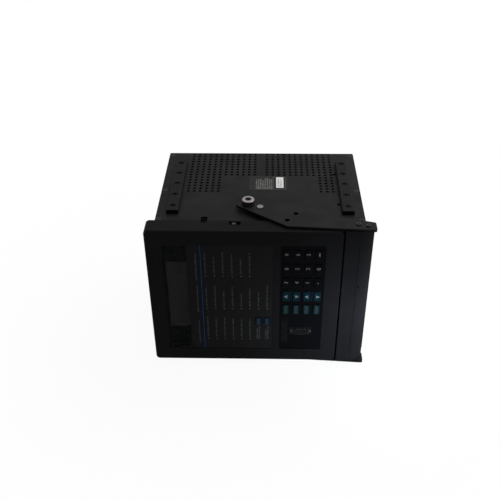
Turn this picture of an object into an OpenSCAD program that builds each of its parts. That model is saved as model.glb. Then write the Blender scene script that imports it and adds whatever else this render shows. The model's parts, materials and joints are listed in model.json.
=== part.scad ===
// Draw-out unit of a panel protection relay: front panel, perforated chassis and locking handle.
// It lies on its left side. +X runs from the relay's top edge to its handle, +Y from the
// front panel to the rear plugs, and +Z up to the relay's right side.

/* [Front panel along its height] */
// Plain margin between the bezel's top edge and the upper recess
top_margin = 20; // [17:0.5:26]
// Height of the display band in the upper recess
window_h = 36; // [34:0.5:44]
// Distance from the display band to the first row of lamps
lamp_head = 23; // [18:0.5:28]
// Spacing of the lamp rows
lamp_pitch_x = 12; // [11:0.1:14]
// Distance from the last row of lamps to the rib
lamp_tail = 8; // [7:0.5:12]
// Height of the rib between the status panel and the keypad
rib_h = 9.5; // [8:0.5:14]
// Distance from the keypad's edge to the first row of keys
key_head = 8.5; // [7.5:0.5:12]
// Spacing of the key rows
key_pitch_x = 14.3; // [13:0.1:17]
// Plain band between the keypad and the handle
band_h = 22; // [20:0.5:30]
// Groove between the bezel and the handle bar
groove = 2; // [1.9:0.1:3]
// Height of the handle bar
bar_h = 37.5; // [34:0.5:44]

/* [Front panel along its width] */
// Width of the recessed panels
panel_w = 184; // [178:1:210]
// Plain margin beside the recessed panels
side_margin = 22; // [18:0.5:28]
// Distance from the panel's left edge to the first column of lamps
lamp_inset = 18; // [12:0.5:24]
// Spacing of the lamp columns
lamp_pitch_z = 57; // [50:0.5:62]
// Distance from the panel's right edge to the outer column of keys
key_inset = 15; // [12:0.5:20]
// Spacing of the key columns
key_pitch_z = 23.4; // [21:0.1:26]
// Distance from the panel's left edge to the two status keys
status_key_inset = 53; // [46:0.5:58]
// Distance from the panel's left edge to the middle of the serial port
port_inset = 34.7; // [30:0.1:40]

/* [Bezel] */
// Depth of the bezel's skirt
skirt_d = 26; // [24.5:0.5:32]
// Thickness of the bezel's face
face_t = 4; // [3.6:0.1:5]
// Thickness of the bezel's skirt
skirt_t = 3.5; // [2.5:0.1:3.7]
// Corner radius of the bezel
corner_r = 6; // [5:0.5:9]
// Rounding of the bezel's front edge
edge_r = 2; // [1:0.1:2.4]
// Depth of the recessed panels
recess_d = 1.2; // [0.8:0.1:1.6]
// Thickness of the overlay films
film_t = 0.6; // [0.4:0.1:0.8]
// Corner radius of the recessed panels
recess_r = 3; // [1:0.5:5]
// Length of the clip slot in the skirt
clip_slot_l = 15; // [12:0.5:20]
// Width of the clip slot
clip_slot_w = 9; // [7:0.1:10]
// Web between the clip slot and the skirt's rear edge
clip_web = 2; // [1.5:0.1:2.4]
// Distance from the bezel's top edge to the middle of the clip slot
clip_x = 119.5; // [100:0.5:130]
// Width of the access notch behind the skirt
notch_w = 9; // [6:0.5:10]
// Depth of the notch in the skirt's rear edge
notch_d = 5; // [3:0.5:8]
// Depth of the notch in the side cover's front edge
cover_notch_d = 19; // [14:0.5:24]
// Distance from the bezel's top edge to the middle of the notch
notch_x = 77.5; // [60:0.5:90]

/* [Display] */
// Border of the upper recess around the window lens
window_edge = 2; // [1:0.1:3]
// Thickness of the window lens
window_t = 1.8; // [1.4:0.1:2.2]
// Height of the display glass
display_h = 28; // [24:0.5:29]
// Length of the display glass
display_l = 113; // [100:1:130]
// How far the display glass sits right of the middle
display_shift = 6; // [0:0.5:12]
// How far the display glass sits below the middle of its band
display_drop = 2; // [0:0.5:3]

/* [Lamps and keys] */
// Radius of a status lamp
lamp_r = 1.6; // [1.2:0.1:2]
// Height of a keypad key
key_h = 10; // [8:0.2:10.6]
// Width of a keypad key
key_w = 16; // [13:0.5:18]
// Height of a status key
status_key_h = 9; // [7:0.2:9.4]
// Width of a status key
status_key_w = 13; // [10:0.5:16]
// Corner radius of a key
key_r = 1.8; // [1.2:0.1:2.4]
// Rounding of a key's top edge
key_edge = 0.7; // [0.4:0.1:0.9]
// How far a key stands above its overlay
key_proud = 1.4; // [1.2:0.1:2]
// Travel of a key
key_travel = 0.8; // [0.5:0.1:1]
// Gap all round a key
key_gap = 0.3; // [0.2:0.05:0.4]
// Width of the rim that keeps a key behind the face
key_rim = 0.9; // [0.7:0.1:1.1]

/* [Serial port] */
// Spacing of the two jack screws
jack_pitch = 25; // [24.8:0.1:26]
// Height of a jack screw's hexagon
jack_h = 5; // [4:0.1:6]
// Radius over the corners of the hexagon
jack_r = 2.75; // [2.4:0.05:3]
// Radius of the threaded hole in a jack screw
jack_bore_r = 1.42; // [1.2:0.02:1.6]
// Length of the port's shell opening
port_l = 16.6; // [15:0.1:17.6]
// Width of the port's shell opening
port_w = 8.4; // [8:0.1:9.6]
// How far the port's shell stands out of the recess
port_proud = 3; // [2:0.1:4]

/* [Chassis] */
// Step from the bezel's top edge in to the chassis
top_step = 11.5; // [11:0.5:18]
// Step from the handle's outer edge in to the chassis
bottom_step = 8.5; // [8:0.5:16]
// Step from the bezel's side in to the side cover
side_step = 4; // [3.8:0.1:6]
// Depth of the chassis from the front face to the rear wall
chassis_d = 222; // [200:1:240]
// Thickness of the sheet metal
sheet = 1.5; // [1:0.1:2]
// Corner radius of the folds
fold_r = 2.5; // [2.2:0.1:4]
// Width of the folded side flanges
flange_w = 12; // [10:0.5:14]

/* [Vents] */
// Radius of a vent hole
vent_r = 2.2; // [1.2:0.1:2.6]
// Radius of the one larger hole among the vents
tool_hole_r = 2.8; // [2:0.1:3.4]
// Spacing of the vent columns
vent_pitch_x = 8.55; // [7:0.05:10]
// Spacing of the vent rows
vent_pitch_y = 7.85; // [6.5:0.05:8.2]
// Rows in the full columns
vent_rows = 15; // [10:1:15]
// Rows in the short columns beside the label
vent_rows_short = 9; // [6:1:9]
// Full columns at the relay's top
vent_full_top = 6; // [3:1:7]
// Full columns at the relay's bottom
vent_full_bottom = 3; // [2:1:6]
// Distance from the chassis's edges to the outer vent columns
vent_inset = 38; // [36:0.5:45]
// Gap between the two vent fields
vent_gap = 15.3; // [12:0.1:24]
// Distance from the rear edge to the last row
vent_rear = 4; // [3.5:0.1:6]

/* [Guide rails] */
// Width of a guide rail
rail_w = 16.5; // [14:0.5:18]
// Height of a guide rail
rail_h = 6; // [4:0.1:7]
// Length of a guide rail
rail_l = 140; // [120:1:155]
// Distance from the front face to the rails
rail_y = 48; // [44:0.5:54]
// Distance from the chassis's edge to a rail
rail_inset = 13.5; // [9.5:0.5:15]
// Spacing of the rail screws
rail_pitch = 29.7; // [25:0.1:31]
// Distance from a rail's front end to its first screw
rail_first = 11; // [8:0.5:14]
// Chamfer along a rail's edges
rail_chamfer = 1.2; // [0.5:0.1:2]

/* [Locking handle] */
// Distance from the front face to the pivot
pivot_y = 54.5; // [50:0.5:60]
// Radius of the pivot
pivot_r = 4.3; // [3.5:0.1:5]
// Thickness of an arm
arm_t = 3.6; // [3:0.1:5]
// Clearance between an arm and the bezel's side
arm_gap = 0.4; // [0.3:0.05:0.8]
// How far an arm reaches past the bar
arm_over = 2.5; // [1:0.1:4]
// Radius of the two lightening holes in an arm
arm_hole_r = 3.4; // [2:0.1:4]
// Depth of the bar at its ends
bar_d = 18; // [16:0.5:19]
// Wall of the bar
bar_wall = 3; // [2.4:0.1:3.2]
// Distance from the groove to the ridge along the bar
bar_ridge = 19.5; // [15:0.5:21]
// Radius of the bar's curved front
bar_round = 26; // [25:0.5:40]
// Length of the step at the bar's left end
bar_step_l = 20; // [12:0.5:30]
// Depth of that step
bar_step_d = 1.4; // [0.6:0.1:1.8]
// Radius of a cam roller
roller_r = 8.4; // [7.5:0.1:9]
// Length of a cam roller
roller_l = 7.8; // [7:0.1:10]
// Radius of the pin that carries a cam roller
roller_pin_r = 2.5; // [2:0.1:3]
// Travel of the latch
latch_travel = 3; // [2:0.1:4]

/* [Rear plugs] */
// Height of the signal plug
signal_h = 150; // [130:1:155]
// Height of the power plug
power_h = 80; // [70:1:87]
// Width of both plugs
plug_w = 172; // [150:1:180]
// Gap between the two plugs' rims
plug_gap = 3; // [2:0.5:6]
// How far the plugs stand behind the rear wall
plug_proud = 6; // [4.5:0.1:9]
// How far the blades stand out of their plug
blade_proud = 6; // [4:0.1:9]
// Spacing of the signal blades along the height
signal_pitch_x = 11; // [9:0.1:11.4]
// Spacing of the power blades along the width
power_pitch_z = 13.5; // [12:0.1:14]

/* [Fits] */
// Running clearance of a turning pin, on the radius
run_fit = 0.05; // [0.02:0.01:0.1]
// Clearance of pieces that are set into one another
seat_fit = 0.2; // [0.1:0.05:0.3]
// Radius of the small screws
screw_r = 1.5; // [1.2:0.1:1.7]
// Thickness of the circuit boards
board_t = 1.6; // [1.2:0.1:2]

/* [Hidden] */
$fn = 48;
eps = 0.5;

lamp_rows = 8;
key_rows = 4;
status_h = lamp_head + (lamp_rows - 1) * lamp_pitch_x + lamp_tail;
keypad_h = 2 * key_head + (key_rows - 1) * key_pitch_x;
status_x = top_margin + window_h;
keypad_x = status_x + status_h + rib_h;
frame_h = keypad_x + keypad_h + band_h;
bar_x = frame_h + groove;
front_h = bar_x + bar_h;
front_w = panel_w + 2 * side_margin;

half = front_w / 2;
panel_half = panel_w / 2;
film_y = recess_d - film_t;
cover_z = half - side_step;
frame_z = cover_z - sheet;
arm_z = half + arm_gap;
arm_top = arm_z + arm_t;
roller_z = arm_top + seat_fit;
roller_top = roller_z + roller_l;

chassis_x = top_step;
chassis_end = front_h - bottom_step;
chassis_h = chassis_end - chassis_x;
skirt_lap = 4;
lip_y = skirt_d - skirt_lap;
lip_top = 14;
boss_r = 4;
boss_top_x = chassis_x + lip_top / 2;
boss_bottom_x = frame_h - skirt_t - boss_r - 2;
lip_bottom_x = boss_bottom_x - 8;
boss_z = [-panel_half + 12, 0, panel_half - 12];

board_y = 12;
key_switch_y = board_y - 4.2;
board_x0 = boss_top_x + boss_r + 3;
board_x1 = boss_bottom_x - boss_r - 3;
board_half = half - skirt_t - 6;
board_boss_r = 3.2;
board_boss_x = [status_x + 6, keypad_x - rib_h / 2];
board_boss_z = panel_half - 12;

pivot_x = chassis_x + chassis_h / 2;
roller_at = [pivot_x - 16.3, pivot_y + 6.8];
arm_tip = [pivot_x - 26, pivot_y + 7.5];
arm_back = [pivot_x - 9, pivot_y + 23.5];
arm_bend = [pivot_x + 38, pivot_y - 40.5];
arm_elbow = [pivot_x + 62, pivot_y - 20.5];
arm_end = front_h + arm_over;
arm_hole_at = [[pivot_x + 48, pivot_y - 16.5], [pivot_x + 36, pivot_y - 32.5]];
bar_screw_at = [[bar_x + 17, 12.5], [bar_x + 29.5, 9.5]];
bar_end_t = 9;

window_at = [top_margin + window_edge, -panel_half + window_edge];
window_size = [window_h - 2 * window_edge, panel_w - 2 * window_edge];
window_y = film_y;
display_at = [top_margin + (window_h - display_h) / 2 + display_drop, display_shift - display_l / 2];
display_y = window_y + window_t + seat_fit;

port_x = keypad_x + keypad_h / 2;
port_z = -panel_half + port_inset;
port_flange = [jack_pitch + 5.8, 12.5];
port_flange_t = 1;
port_shell_t = 0.5;
jack_shank_r = 1.75;
jack_at = [for (s = [-1, 1]) [port_x + s * jack_pitch / 2, port_z]];

pivot_flange_r = 7.5;
pivot_shank_r = 3;
screw_head_r = 2 * screw_r;
rail_screw_r = 2;
rail_head_r = 4.2;
rail_sink = 1;
rail_xs = [chassis_x + rail_inset, chassis_end - rail_inset - rail_w];
cover_sink = 0.6 * sheet;
cover_screw_inset = 5.2;
cover_screw_front = 14;
cover_screw_rear = 8;
cover_screw_xs = [chassis_x + cover_screw_inset, chassis_end - cover_screw_inset];
cover_screw_ys = [lip_y + cover_screw_front, chassis_d / 2, chassis_d - cover_screw_rear];
cover_screw_at = [for (x = cover_screw_xs, y = cover_screw_ys) [x, y]];

vent_half = (chassis_h - 2 * vent_inset - vent_gap) / 2;
vent_columns = floor(vent_half / vent_pitch_x + 0.001) + 1;

plug_inside = 18;
plug_rim = 4;
plug_rim_t = 2;
cell_d = 3;
plugs_h = signal_h + power_h + 4 * plug_rim + plug_gap;
signal_x = pivot_x - plugs_h / 2 + plug_rim;
power_x = signal_x + signal_h + 2 * plug_rim + plug_gap;
plug_front = chassis_d - sheet - plug_inside;
rear_end = chassis_d + plug_proud + blade_proud;

guide_h = 6;
guide_w = 7;
guide_y = 40;
guide_slot = 3.5;
card_zs = [-72, 0, 72];
card_x0 = chassis_x + sheet + guide_h - guide_slot + seat_fit;
card_x1 = chassis_end - sheet - guide_h + guide_slot - seat_fit;

roller_head_r = 4;
roller_head_h = 2;
roller_well = 3;

latch_w = 16;
latch_t = 3.4;
latch_stud_r = 2;
latch_stud_x = [bar_x + 6, bar_x + 19];
latch_y = lip_y - seat_fit - latch_t;
latch_gap = 0.4;
latch_reach = 9;
bar_catch_y = 12;
catch_gap = 1;

x_mid = arm_end / 2;
y_mid = (rear_end + recess_d - jack_h) / 2;
z_mid = roller_top;

BLACK = [0.09, 0.09, 0.1];
PLASTIC = [0.13, 0.13, 0.14];
POWDER = [0.2, 0.2, 0.21];
STEEL = [0.75, 0.75, 0.76];
BOARD = [0.1, 0.32, 0.18];
TEAL = [0.05, 0.4, 0.5];
BRASS = [0.78, 0.66, 0.32];

function row_x(i) = keypad_x + key_head + i * key_pitch_x;
function column_z(i) = panel_half - key_inset - i * key_pitch_z;
function lamp_x(i) = status_x + lamp_head + i * lamp_pitch_x;
function lamp_z(i) = -panel_half + lamp_inset + i * lamp_pitch_z;

// Lamps in each status column, from the relay's left
LAMPS = [6, 8, 6];

// Number keys by row, from the relay's top, each row from its left
NUMBERS = [
  ["key_num_7", "key_num_8", "key_num_9"],
  ["key_num_4", "key_num_5", "key_num_6"],
  ["key_num_1", "key_num_2", "key_num_3"],
  ["key_point", "key_num_0", "key_help"]
];
ARROWS = ["key_up_1", "key_down_1", "key_up_2", "key_down_2"];
FUNCTIONS = ["key_function_1", "key_function_2", "key_function_3", "key_function_4"];
STATUS_KEYS = ["key_status_1", "key_status_2"];

// Each key: name, place of its middle, size and colour
PAD_KEYS = concat(
  [for (r = [0:3], c = [0:2]) [NUMBERS[r][c], [row_x(r), column_z(2 - c)], [key_h, key_w], BLACK]],
  [for (r = [0:3]) [ARROWS[r], [row_x(r), column_z(3)], [key_h, key_w], TEAL]],
  [for (r = [0:3]) [FUNCTIONS[r], [row_x(r), column_z(4)], [key_h, key_w], TEAL]]
);
PANEL_KEYS = [
  for (r = [0:1]) [
    STATUS_KEYS[r],
    [lamp_x(lamp_rows - 2 + r), -panel_half + status_key_inset],
    [status_key_h, status_key_w],
    TEAL
  ]
];
KEYS = concat(PAD_KEYS, PANEL_KEYS);

// Moves the part from its drawing corner to its own frame
module place() {
  translate([-x_mid, -y_mid, z_mid]) children();
}

// Draws the shape on the relay's right side and again on its left
module both_sides() {
  children();
  mirror([0, 0, 1]) children();
}

// Raises a flat outline drawn over X and Z into a slab along Y
module slab(y0, depth) {
  translate([0, y0 + depth, 0]) rotate([90, 0, 0]) linear_extrude(depth) children();
}

// Rectangle with round corners
module rounded(size, r) {
  translate([r, 0]) square([size[0] - 2 * r, size[1]]);
  translate([0, r]) square([size[0], size[1] - 2 * r]);
  for (x = [r, size[0] - r], y = [r, size[1] - r]) translate([x, y]) circle(r);
}

// Rectangle with round corners about its middle
module rounded_about(size, r) {
  translate(-size / 2) rounded(size, r);
}

// Round bar along Y from y0 to y1
module post(at, r, y0, y1) {
  translate([at[0], y0, at[1]]) rotate([-90, 0, 0]) cylinder(r = r, h = y1 - y0);
}

// Round bar along Z from z0 to z1
module disc(at, r, z0, z1) {
  translate([at[0], at[1], z0]) cylinder(r = r, h = z1 - z0);
}

// Block with round corners and a soft front edge, its front at y = 0
module soft_block(size, depth, r, edge, sides) {
  hull() for (x = [r, size[0] - r], z = [r, size[1] - r], a = [0:30:90])
    translate([x, edge * (1 - sin(a)), z]) rotate([-90, 0, 0])
      cylinder(r = r - edge * (1 - cos(a)), h = depth - edge * (1 - sin(a)), $fn = sides);
}

// Middles of the status lamps
LAMP_PLACES = [for (c = [0:2], r = [0:LAMPS[c] - 1]) [lamp_x(r), lamp_z(c)]];

// Outline of the port's shell, its wide side towards the relay's right
module port_outline(grow) {
  r = 2;
  lean = 0.9;
  wide = port_l / 2 - r;
  tall = port_w / 2 - r;
  hull() for (s = [-1, 1]) {
    translate([s * wide, tall]) circle(r + grow, $fn = 32);
    translate([s * (wide - lean), -tall]) circle(r + grow, $fn = 32);
  }
}

// Opening that a key moves in
module key_opening(k) {
  translate(k[1]) rounded_about(k[2] + 2 * [key_gap, key_gap], key_r + key_gap);
}

module front_bezel() {
  inner = [frame_h - 2 * skirt_t, front_w - 2 * skirt_t];
  return_t = 2.5;
  color(PLASTIC) place() difference() {
    union() {
      difference() {
        translate([0, 0, -half]) soft_block([frame_h, front_w], skirt_d, corner_r, edge_r, 32);
        slab(face_t, skirt_d) translate([skirt_t, skirt_t - half]) rounded(inner, corner_r - skirt_t);
      }
      translate([skirt_t - eps, skirt_d - return_t, skirt_t - half - eps])
        cube([chassis_x - seat_fit - skirt_t + eps, return_t, inner[1] + 2 * eps]);
      for (x = [boss_top_x, boss_bottom_x], z = boss_z) post([x, z], boss_r, face_t - eps, lip_y);
      for (x = board_boss_x, s = [-1, 1])
        post([x, s * board_boss_z], board_boss_r, face_t - eps, board_y);
    }
    slab(-eps, recess_d + eps) {
      translate([top_margin, -panel_half]) rounded([window_h + status_h, panel_w], recess_r);
      translate([keypad_x, -panel_half]) rounded([keypad_h, panel_w], recess_r);
    }
    slab(0, window_y + window_t + seat_fit) translate(window_at - [seat_fit, seat_fit])
      rounded(window_size + 2 * [seat_fit, seat_fit], 1);
    slab(0, face_t + eps) translate(display_at - [seat_fit, seat_fit])
      square([display_h, display_l] + 2 * [seat_fit, seat_fit]);
    for (p = LAMP_PLACES) post(p, lamp_r + seat_fit, 0, face_t + eps);
    for (k = KEYS) slab(0, face_t + eps) key_opening(k);
    slab(0, face_t + eps) translate([port_x, port_z]) port_outline(port_shell_t + seat_fit);
    for (at = jack_at) post(at, jack_shank_r + seat_fit, 0, face_t + eps);
    for (x = [boss_top_x, boss_bottom_x], z = boss_z)
      post([x, z], screw_r + run_fit, lip_y - 10, lip_y + eps);
    for (x = board_boss_x, s = [-1, 1])
      post([x, s * board_boss_z], screw_r + run_fit, board_y - 6, board_y + eps);
    translate([frame_h - corner_r, lip_y - seat_fit, -cover_z - seat_fit])
      cube([corner_r + eps, skirt_d, 2 * (cover_z + seat_fit)]);
    both_sides() {
      translate([clip_x - clip_slot_l / 2, skirt_d - clip_web - clip_slot_w, half - skirt_t - eps])
        cube([clip_slot_l, clip_slot_w, skirt_t + 2 * eps]);
      translate([notch_x - notch_w / 2, skirt_d - notch_d, half - skirt_t - eps])
        cube([notch_w, notch_d + eps, skirt_t + 2 * eps]);
    }
  }
}

module display_window() {
  color(BLACK) place() slab(window_y, window_t) translate(window_at) rounded(window_size, 1);
}

// Flat display tube on its carrier, which stands on the front board
module display_module() {
  carrier_y = board_y - board_t;
  ear = 4;
  color([0.3, 0.36, 0.33]) place() {
    slab(display_y, carrier_y - display_y) translate(display_at) square([display_h, display_l]);
    slab(carrier_y, board_t) translate(display_at - [0, ear]) square([display_h, display_l + 2 * ear]);
  }
}

module status_overlay() {
  size = [window_h + status_h, panel_w];
  fit = [seat_fit, seat_fit];
  color(PLASTIC) place() difference() {
    slab(film_y, film_t) translate([top_margin, -panel_half] + fit)
      rounded(size - 2 * fit, recess_r - seat_fit);
    slab(0, recess_d + eps) translate(window_at - fit) rounded(window_size + 2 * fit, 1);
    for (p = LAMP_PLACES) post(p, lamp_r + seat_fit, 0, recess_d + eps);
    for (k = PANEL_KEYS) slab(0, recess_d + eps) key_opening(k);
  }
}

// Round lamps with domed ends, standing on the front board
module status_lamps() {
  dome_y = film_y - 0.3 + lamp_r;
  color([0.8, 0.82, 0.8]) place() for (p = LAMP_PLACES) {
    post(p, lamp_r, dome_y, board_y);
    translate([p[0], dome_y, p[1]]) sphere(lamp_r);
  }
}

module keypad_overlay() {
  fit = [seat_fit, seat_fit];
  port_cut = port_flange + [2, 2];
  color(PLASTIC) place() difference() {
    slab(film_y, film_t) translate([keypad_x, -panel_half] + fit)
      rounded([keypad_h, panel_w] - 2 * fit, recess_r - seat_fit);
    for (k = PAD_KEYS) slab(0, recess_d + eps) key_opening(k);
    slab(0, recess_d + eps) translate([port_x, port_z]) rounded_about(port_cut, 2);
  }
}

// Cap with a rim that keeps it behind the face, and a stem that meets its switch
module key_cap(at, size, colour) {
  top_y = film_y - key_proud;
  rim_y = face_t + seat_fit;
  rim_t = 1;
  stem_r = 2;
  stem_end = key_switch_y - key_travel - 0.1;
  color(colour) place() {
    translate([at[0] - size[0] / 2, top_y, at[1] - size[1] / 2])
      soft_block(size, rim_y + rim_t - top_y, key_r, key_edge, 16);
    slab(rim_y, rim_t) translate(at) rounded_about(size + 2 * [key_rim, key_rim], key_r);
    post(at, stem_r, rim_y + rim_t - eps, stem_end);
  }
}

module key_switches() {
  body = 6;
  button_r = 1.7;
  button_h = 0.7;
  color(BLACK) place() for (k = KEYS) {
    slab(key_switch_y + button_h, board_y - key_switch_y - button_h)
      translate(k[1]) square(body, center = true);
    post(k[1], button_r, key_switch_y, key_switch_y + button_h + eps);
  }
}

module front_board() {
  color(BOARD) place() difference() {
    slab(board_y, board_t)
      translate([board_x0, -board_half]) square([board_x1 - board_x0, 2 * board_half]);
    for (x = board_boss_x, s = [-1, 1])
      post([x, s * board_boss_z], screw_r + seat_fit, board_y - eps, board_y + board_t + eps);
  }
}

module port_shell() {
  end_y = recess_d - port_proud;
  color(STEEL) place() difference() {
    union() {
      slab(face_t, port_flange_t) translate([port_x, port_z]) rounded_about(port_flange, 1.5);
      slab(end_y, face_t + eps - end_y) translate([port_x, port_z]) port_outline(port_shell_t);
    }
    slab(end_y - eps, face_t + port_flange_t - end_y + 2 * eps)
      translate([port_x, port_z]) port_outline(0);
    for (at = jack_at) post(at, jack_shank_r + seat_fit, face_t - eps, face_t + port_flange_t + eps);
  }
}

// Insulator with nine contact holes, which stands on the front board
module port_insert() {
  end_y = recess_d - port_proud + 0.4;
  pin_pitch = 2.76;
  pin_row = 1.42;
  pin_r = 0.6;
  pin_depth = 6;
  back = [19, 10.5];
  color(BLACK) place() difference() {
    union() {
      slab(end_y, face_t + port_flange_t + eps - end_y) translate([port_x, port_z]) port_outline(-0.1);
      slab(face_t + port_flange_t, board_y - face_t - port_flange_t)
        translate([port_x, port_z]) square(back, center = true);
    }
    for (i = [-2:2])
      post([port_x + i * pin_pitch, port_z + pin_row], pin_r, end_y - eps, end_y + pin_depth);
    for (i = [-1.5:1.5])
      post([port_x + i * pin_pitch, port_z - pin_row], pin_r, end_y - eps, end_y + pin_depth);
  }
}

module jack_screws() {
  front = recess_d - jack_h;
  shank_over = 3;
  bore_floor = 0.7;
  color(STEEL) place() for (at = jack_at) difference() {
    union() {
      translate([at[0], front, at[1]]) rotate([-90, 30, 0]) cylinder(r = jack_r, h = jack_h, $fn = 6);
      post(at, jack_shank_r, recess_d - eps, face_t + port_flange_t + shank_over);
    }
    post(at, jack_bore_r, front - eps, recess_d - bore_floor);
  }
}

// Outline of the chassis seen from its side
module chassis_outline(inset) {
  translate([chassis_x + inset, lip_y + inset])
    rounded([chassis_h, chassis_d - lip_y] - 2 * [inset, inset], fold_r - inset);
}

// Top, rear and bottom walls with front lips and side flanges, folded from one sheet
module chassis_frame() {
  lip_gap = [lip_bottom_x - chassis_x - lip_top, sheet + 2 * eps];
  color(POWDER) place() difference() {
    union() {
      translate([0, 0, -frame_z]) linear_extrude(2 * frame_z) difference() {
        chassis_outline(0);
        chassis_outline(sheet);
        translate([chassis_x + lip_top, lip_y - eps]) square(lip_gap);
      }
      both_sides() translate([0, 0, frame_z - sheet]) linear_extrude(sheet) difference() {
        chassis_outline(0);
        translate([chassis_x + flange_w, lip_y - eps])
          square([chassis_h - 2 * flange_w, chassis_d - lip_y - flange_w + eps]);
      }
      for (x = latch_stud_x) {
        post([x, 0], latch_stud_r, latch_y - seat_fit, lip_y + eps);
        post([x, 0], 2 * latch_stud_r, latch_y - seat_fit - 1, latch_y - seat_fit);
      }
    }
    for (x = [boss_top_x, boss_bottom_x], z = boss_z)
      post([x, z], screw_r + seat_fit, lip_y - eps, lip_y + sheet + eps);
    for (p = [[signal_x, signal_h], [power_x, power_h]])
      slab(chassis_d - sheet - eps, sheet + 2 * eps)
        translate([p[0], -plug_w / 2] - [seat_fit, seat_fit])
          square([p[1], plug_w] + 2 * [seat_fit, seat_fit]);
    both_sides() for (p = cover_screw_at)
      disc(p, screw_r + run_fit, frame_z - sheet - eps, frame_z + eps);
  }
}

// Vent rows in a column, counted from the chassis's end
function vent_count(i, full) = i < full ? vent_rows : vent_rows_short;

// Vent holes of both fields, full columns outside and short ones beside the label, one of them larger
module vent_field() {
  translate([chassis_x + vent_inset + vent_pitch_x, chassis_d - vent_rear - vent_pitch_y])
    circle(tool_hole_r);
  for (i = [0:vent_columns - 1]) {
    for (j = [0:vent_count(i, vent_full_top) - 1])
      translate([chassis_x + vent_inset + i * vent_pitch_x, chassis_d - vent_rear - j * vent_pitch_y])
        circle(vent_r);
    for (j = [0:vent_count(i, vent_full_bottom) - 1])
      translate([chassis_end - vent_inset - i * vent_pitch_x, chassis_d - vent_rear - j * vent_pitch_y])
        circle(vent_r);
  }
}

// Flat side cover with its vents, seen from the relay's right
module side_cover() {
  lug = 5;
  lug_x = rail_xs[1] - lug;
  lug_ys = [rail_y + rail_first + 0.5 * rail_pitch, rail_y + rail_first + 3.3 * rail_pitch];
  color(POWDER) difference() {
    translate([0, 0, frame_z]) linear_extrude(sheet) difference() {
      chassis_outline(0);
      vent_field();
      translate([pivot_x, pivot_y]) circle(pivot_shank_r + seat_fit);
      for (x = rail_xs, i = [0:4])
        translate([x + rail_w / 2, rail_y + rail_first + i * rail_pitch])
          circle(rail_screw_r + run_fit);
      for (y = lug_ys) translate([lug_x, y - lug / 2]) square([lug - 1, lug]);
      for (p = cover_screw_at) translate(p) circle(screw_r + run_fit);
      translate([notch_x - notch_w / 2, lip_y - eps]) square([notch_w, cover_notch_d + eps]);
    }
    for (p = cover_screw_at)
      translate([p[0], p[1], cover_z - cover_sink])
        cylinder(r1 = screw_r + run_fit, r2 = screw_head_r + run_fit, h = cover_sink + 0.01);
  }
}

module right_cover() {
  place() side_cover();
}

module left_cover() {
  place() mirror([0, 0, 1]) side_cover();
}

// Flat-head screws that hold the covers to the chassis flanges
module cover_screws() {
  length = 6;
  cross = [0.6 * screw_head_r, 0.2 * screw_head_r];
  cross_d = 0.7;
  color(BLACK) place() both_sides() for (p = cover_screw_at) difference() {
    union() {
      disc(p, screw_r, cover_z - length, cover_z - cover_sink + 0.1);
      translate([p[0], p[1], cover_z - cover_sink])
        cylinder(r1 = screw_r, r2 = screw_head_r, h = cover_sink);
    }
    for (turn = [45, 135]) translate([p[0], p[1], cover_z - cross_d]) rotate(turn)
      translate([-cross[0], -cross[1] / 2]) cube([2 * cross[0], cross[1], cross_d + eps]);
  }
}

// Pan-head screws of the chassis lips and of the front board
module bezel_screws() {
  head_h = 1.8;
  reach = 8;
  board_reach = 5;
  color(STEEL) place() {
    for (x = [boss_top_x, boss_bottom_x], z = boss_z) {
      post([x, z], screw_r, lip_y - reach, lip_y + sheet + eps);
      post([x, z], screw_head_r, lip_y + sheet, lip_y + sheet + head_h);
    }
    for (x = board_boss_x, s = [-1, 1]) {
      post([x, s * board_boss_z], screw_r, board_y - board_reach, board_y + board_t + eps);
      post([x, s * board_boss_z], screw_head_r, board_y + board_t, board_y + board_t + head_h);
    }
  }
}

// Bright spring clips in the skirt's slots, each with a foot under the side cover and a tab at its top
module bezel_clips() {
  clip_l = 5;
  clip_t = 0.8;
  inset = 1;
  side_gap = 3.5;
  reach = 3.5;
  foot = 6;
  tab = 4.6;
  at = [clip_x - clip_slot_l / 2 + side_gap, lip_y - reach, frame_z - clip_t];
  tall = half - inset - at[2];
  color(STEEL) place() both_sides() translate(at) {
    cube([clip_l, clip_t, tall]);
    cube([clip_l, reach + foot, clip_t]);
    translate([0, 0, tall - clip_t]) cube([clip_l, tab, clip_t]);
  }
}

// Pair of guide rails on one side, with countersunk holes
module rail_pair() {
  chamfer = rail_chamfer;
  profile = [
    [0, 0], [rail_w, 0], [rail_w, rail_h - chamfer], [rail_w - chamfer, rail_h],
    [chamfer, rail_h], [0, rail_h - chamfer]
  ];
  color(PLASTIC) for (x = rail_xs) difference() {
    slab(rail_y, rail_l) translate([x, cover_z]) polygon(profile);
    for (i = [0:4]) {
      at = [x + rail_w / 2, rail_y + rail_first + i * rail_pitch];
      disc(at, rail_screw_r + seat_fit, cover_z - eps, cover_z + rail_h);
      translate([at[0], at[1], cover_z + rail_h - rail_sink - rail_head_r + rail_screw_r])
        cylinder(
          r1 = rail_screw_r + seat_fit,
          r2 = rail_head_r + seat_fit,
          h = rail_head_r - rail_screw_r
        );
      disc(at, rail_head_r + seat_fit, cover_z + rail_h - rail_sink, cover_z + rail_h + eps);
    }
  }
}

module right_rails() {
  place() rail_pair();
}

module left_rails() {
  place() mirror([0, 0, 1]) rail_pair();
}

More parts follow.
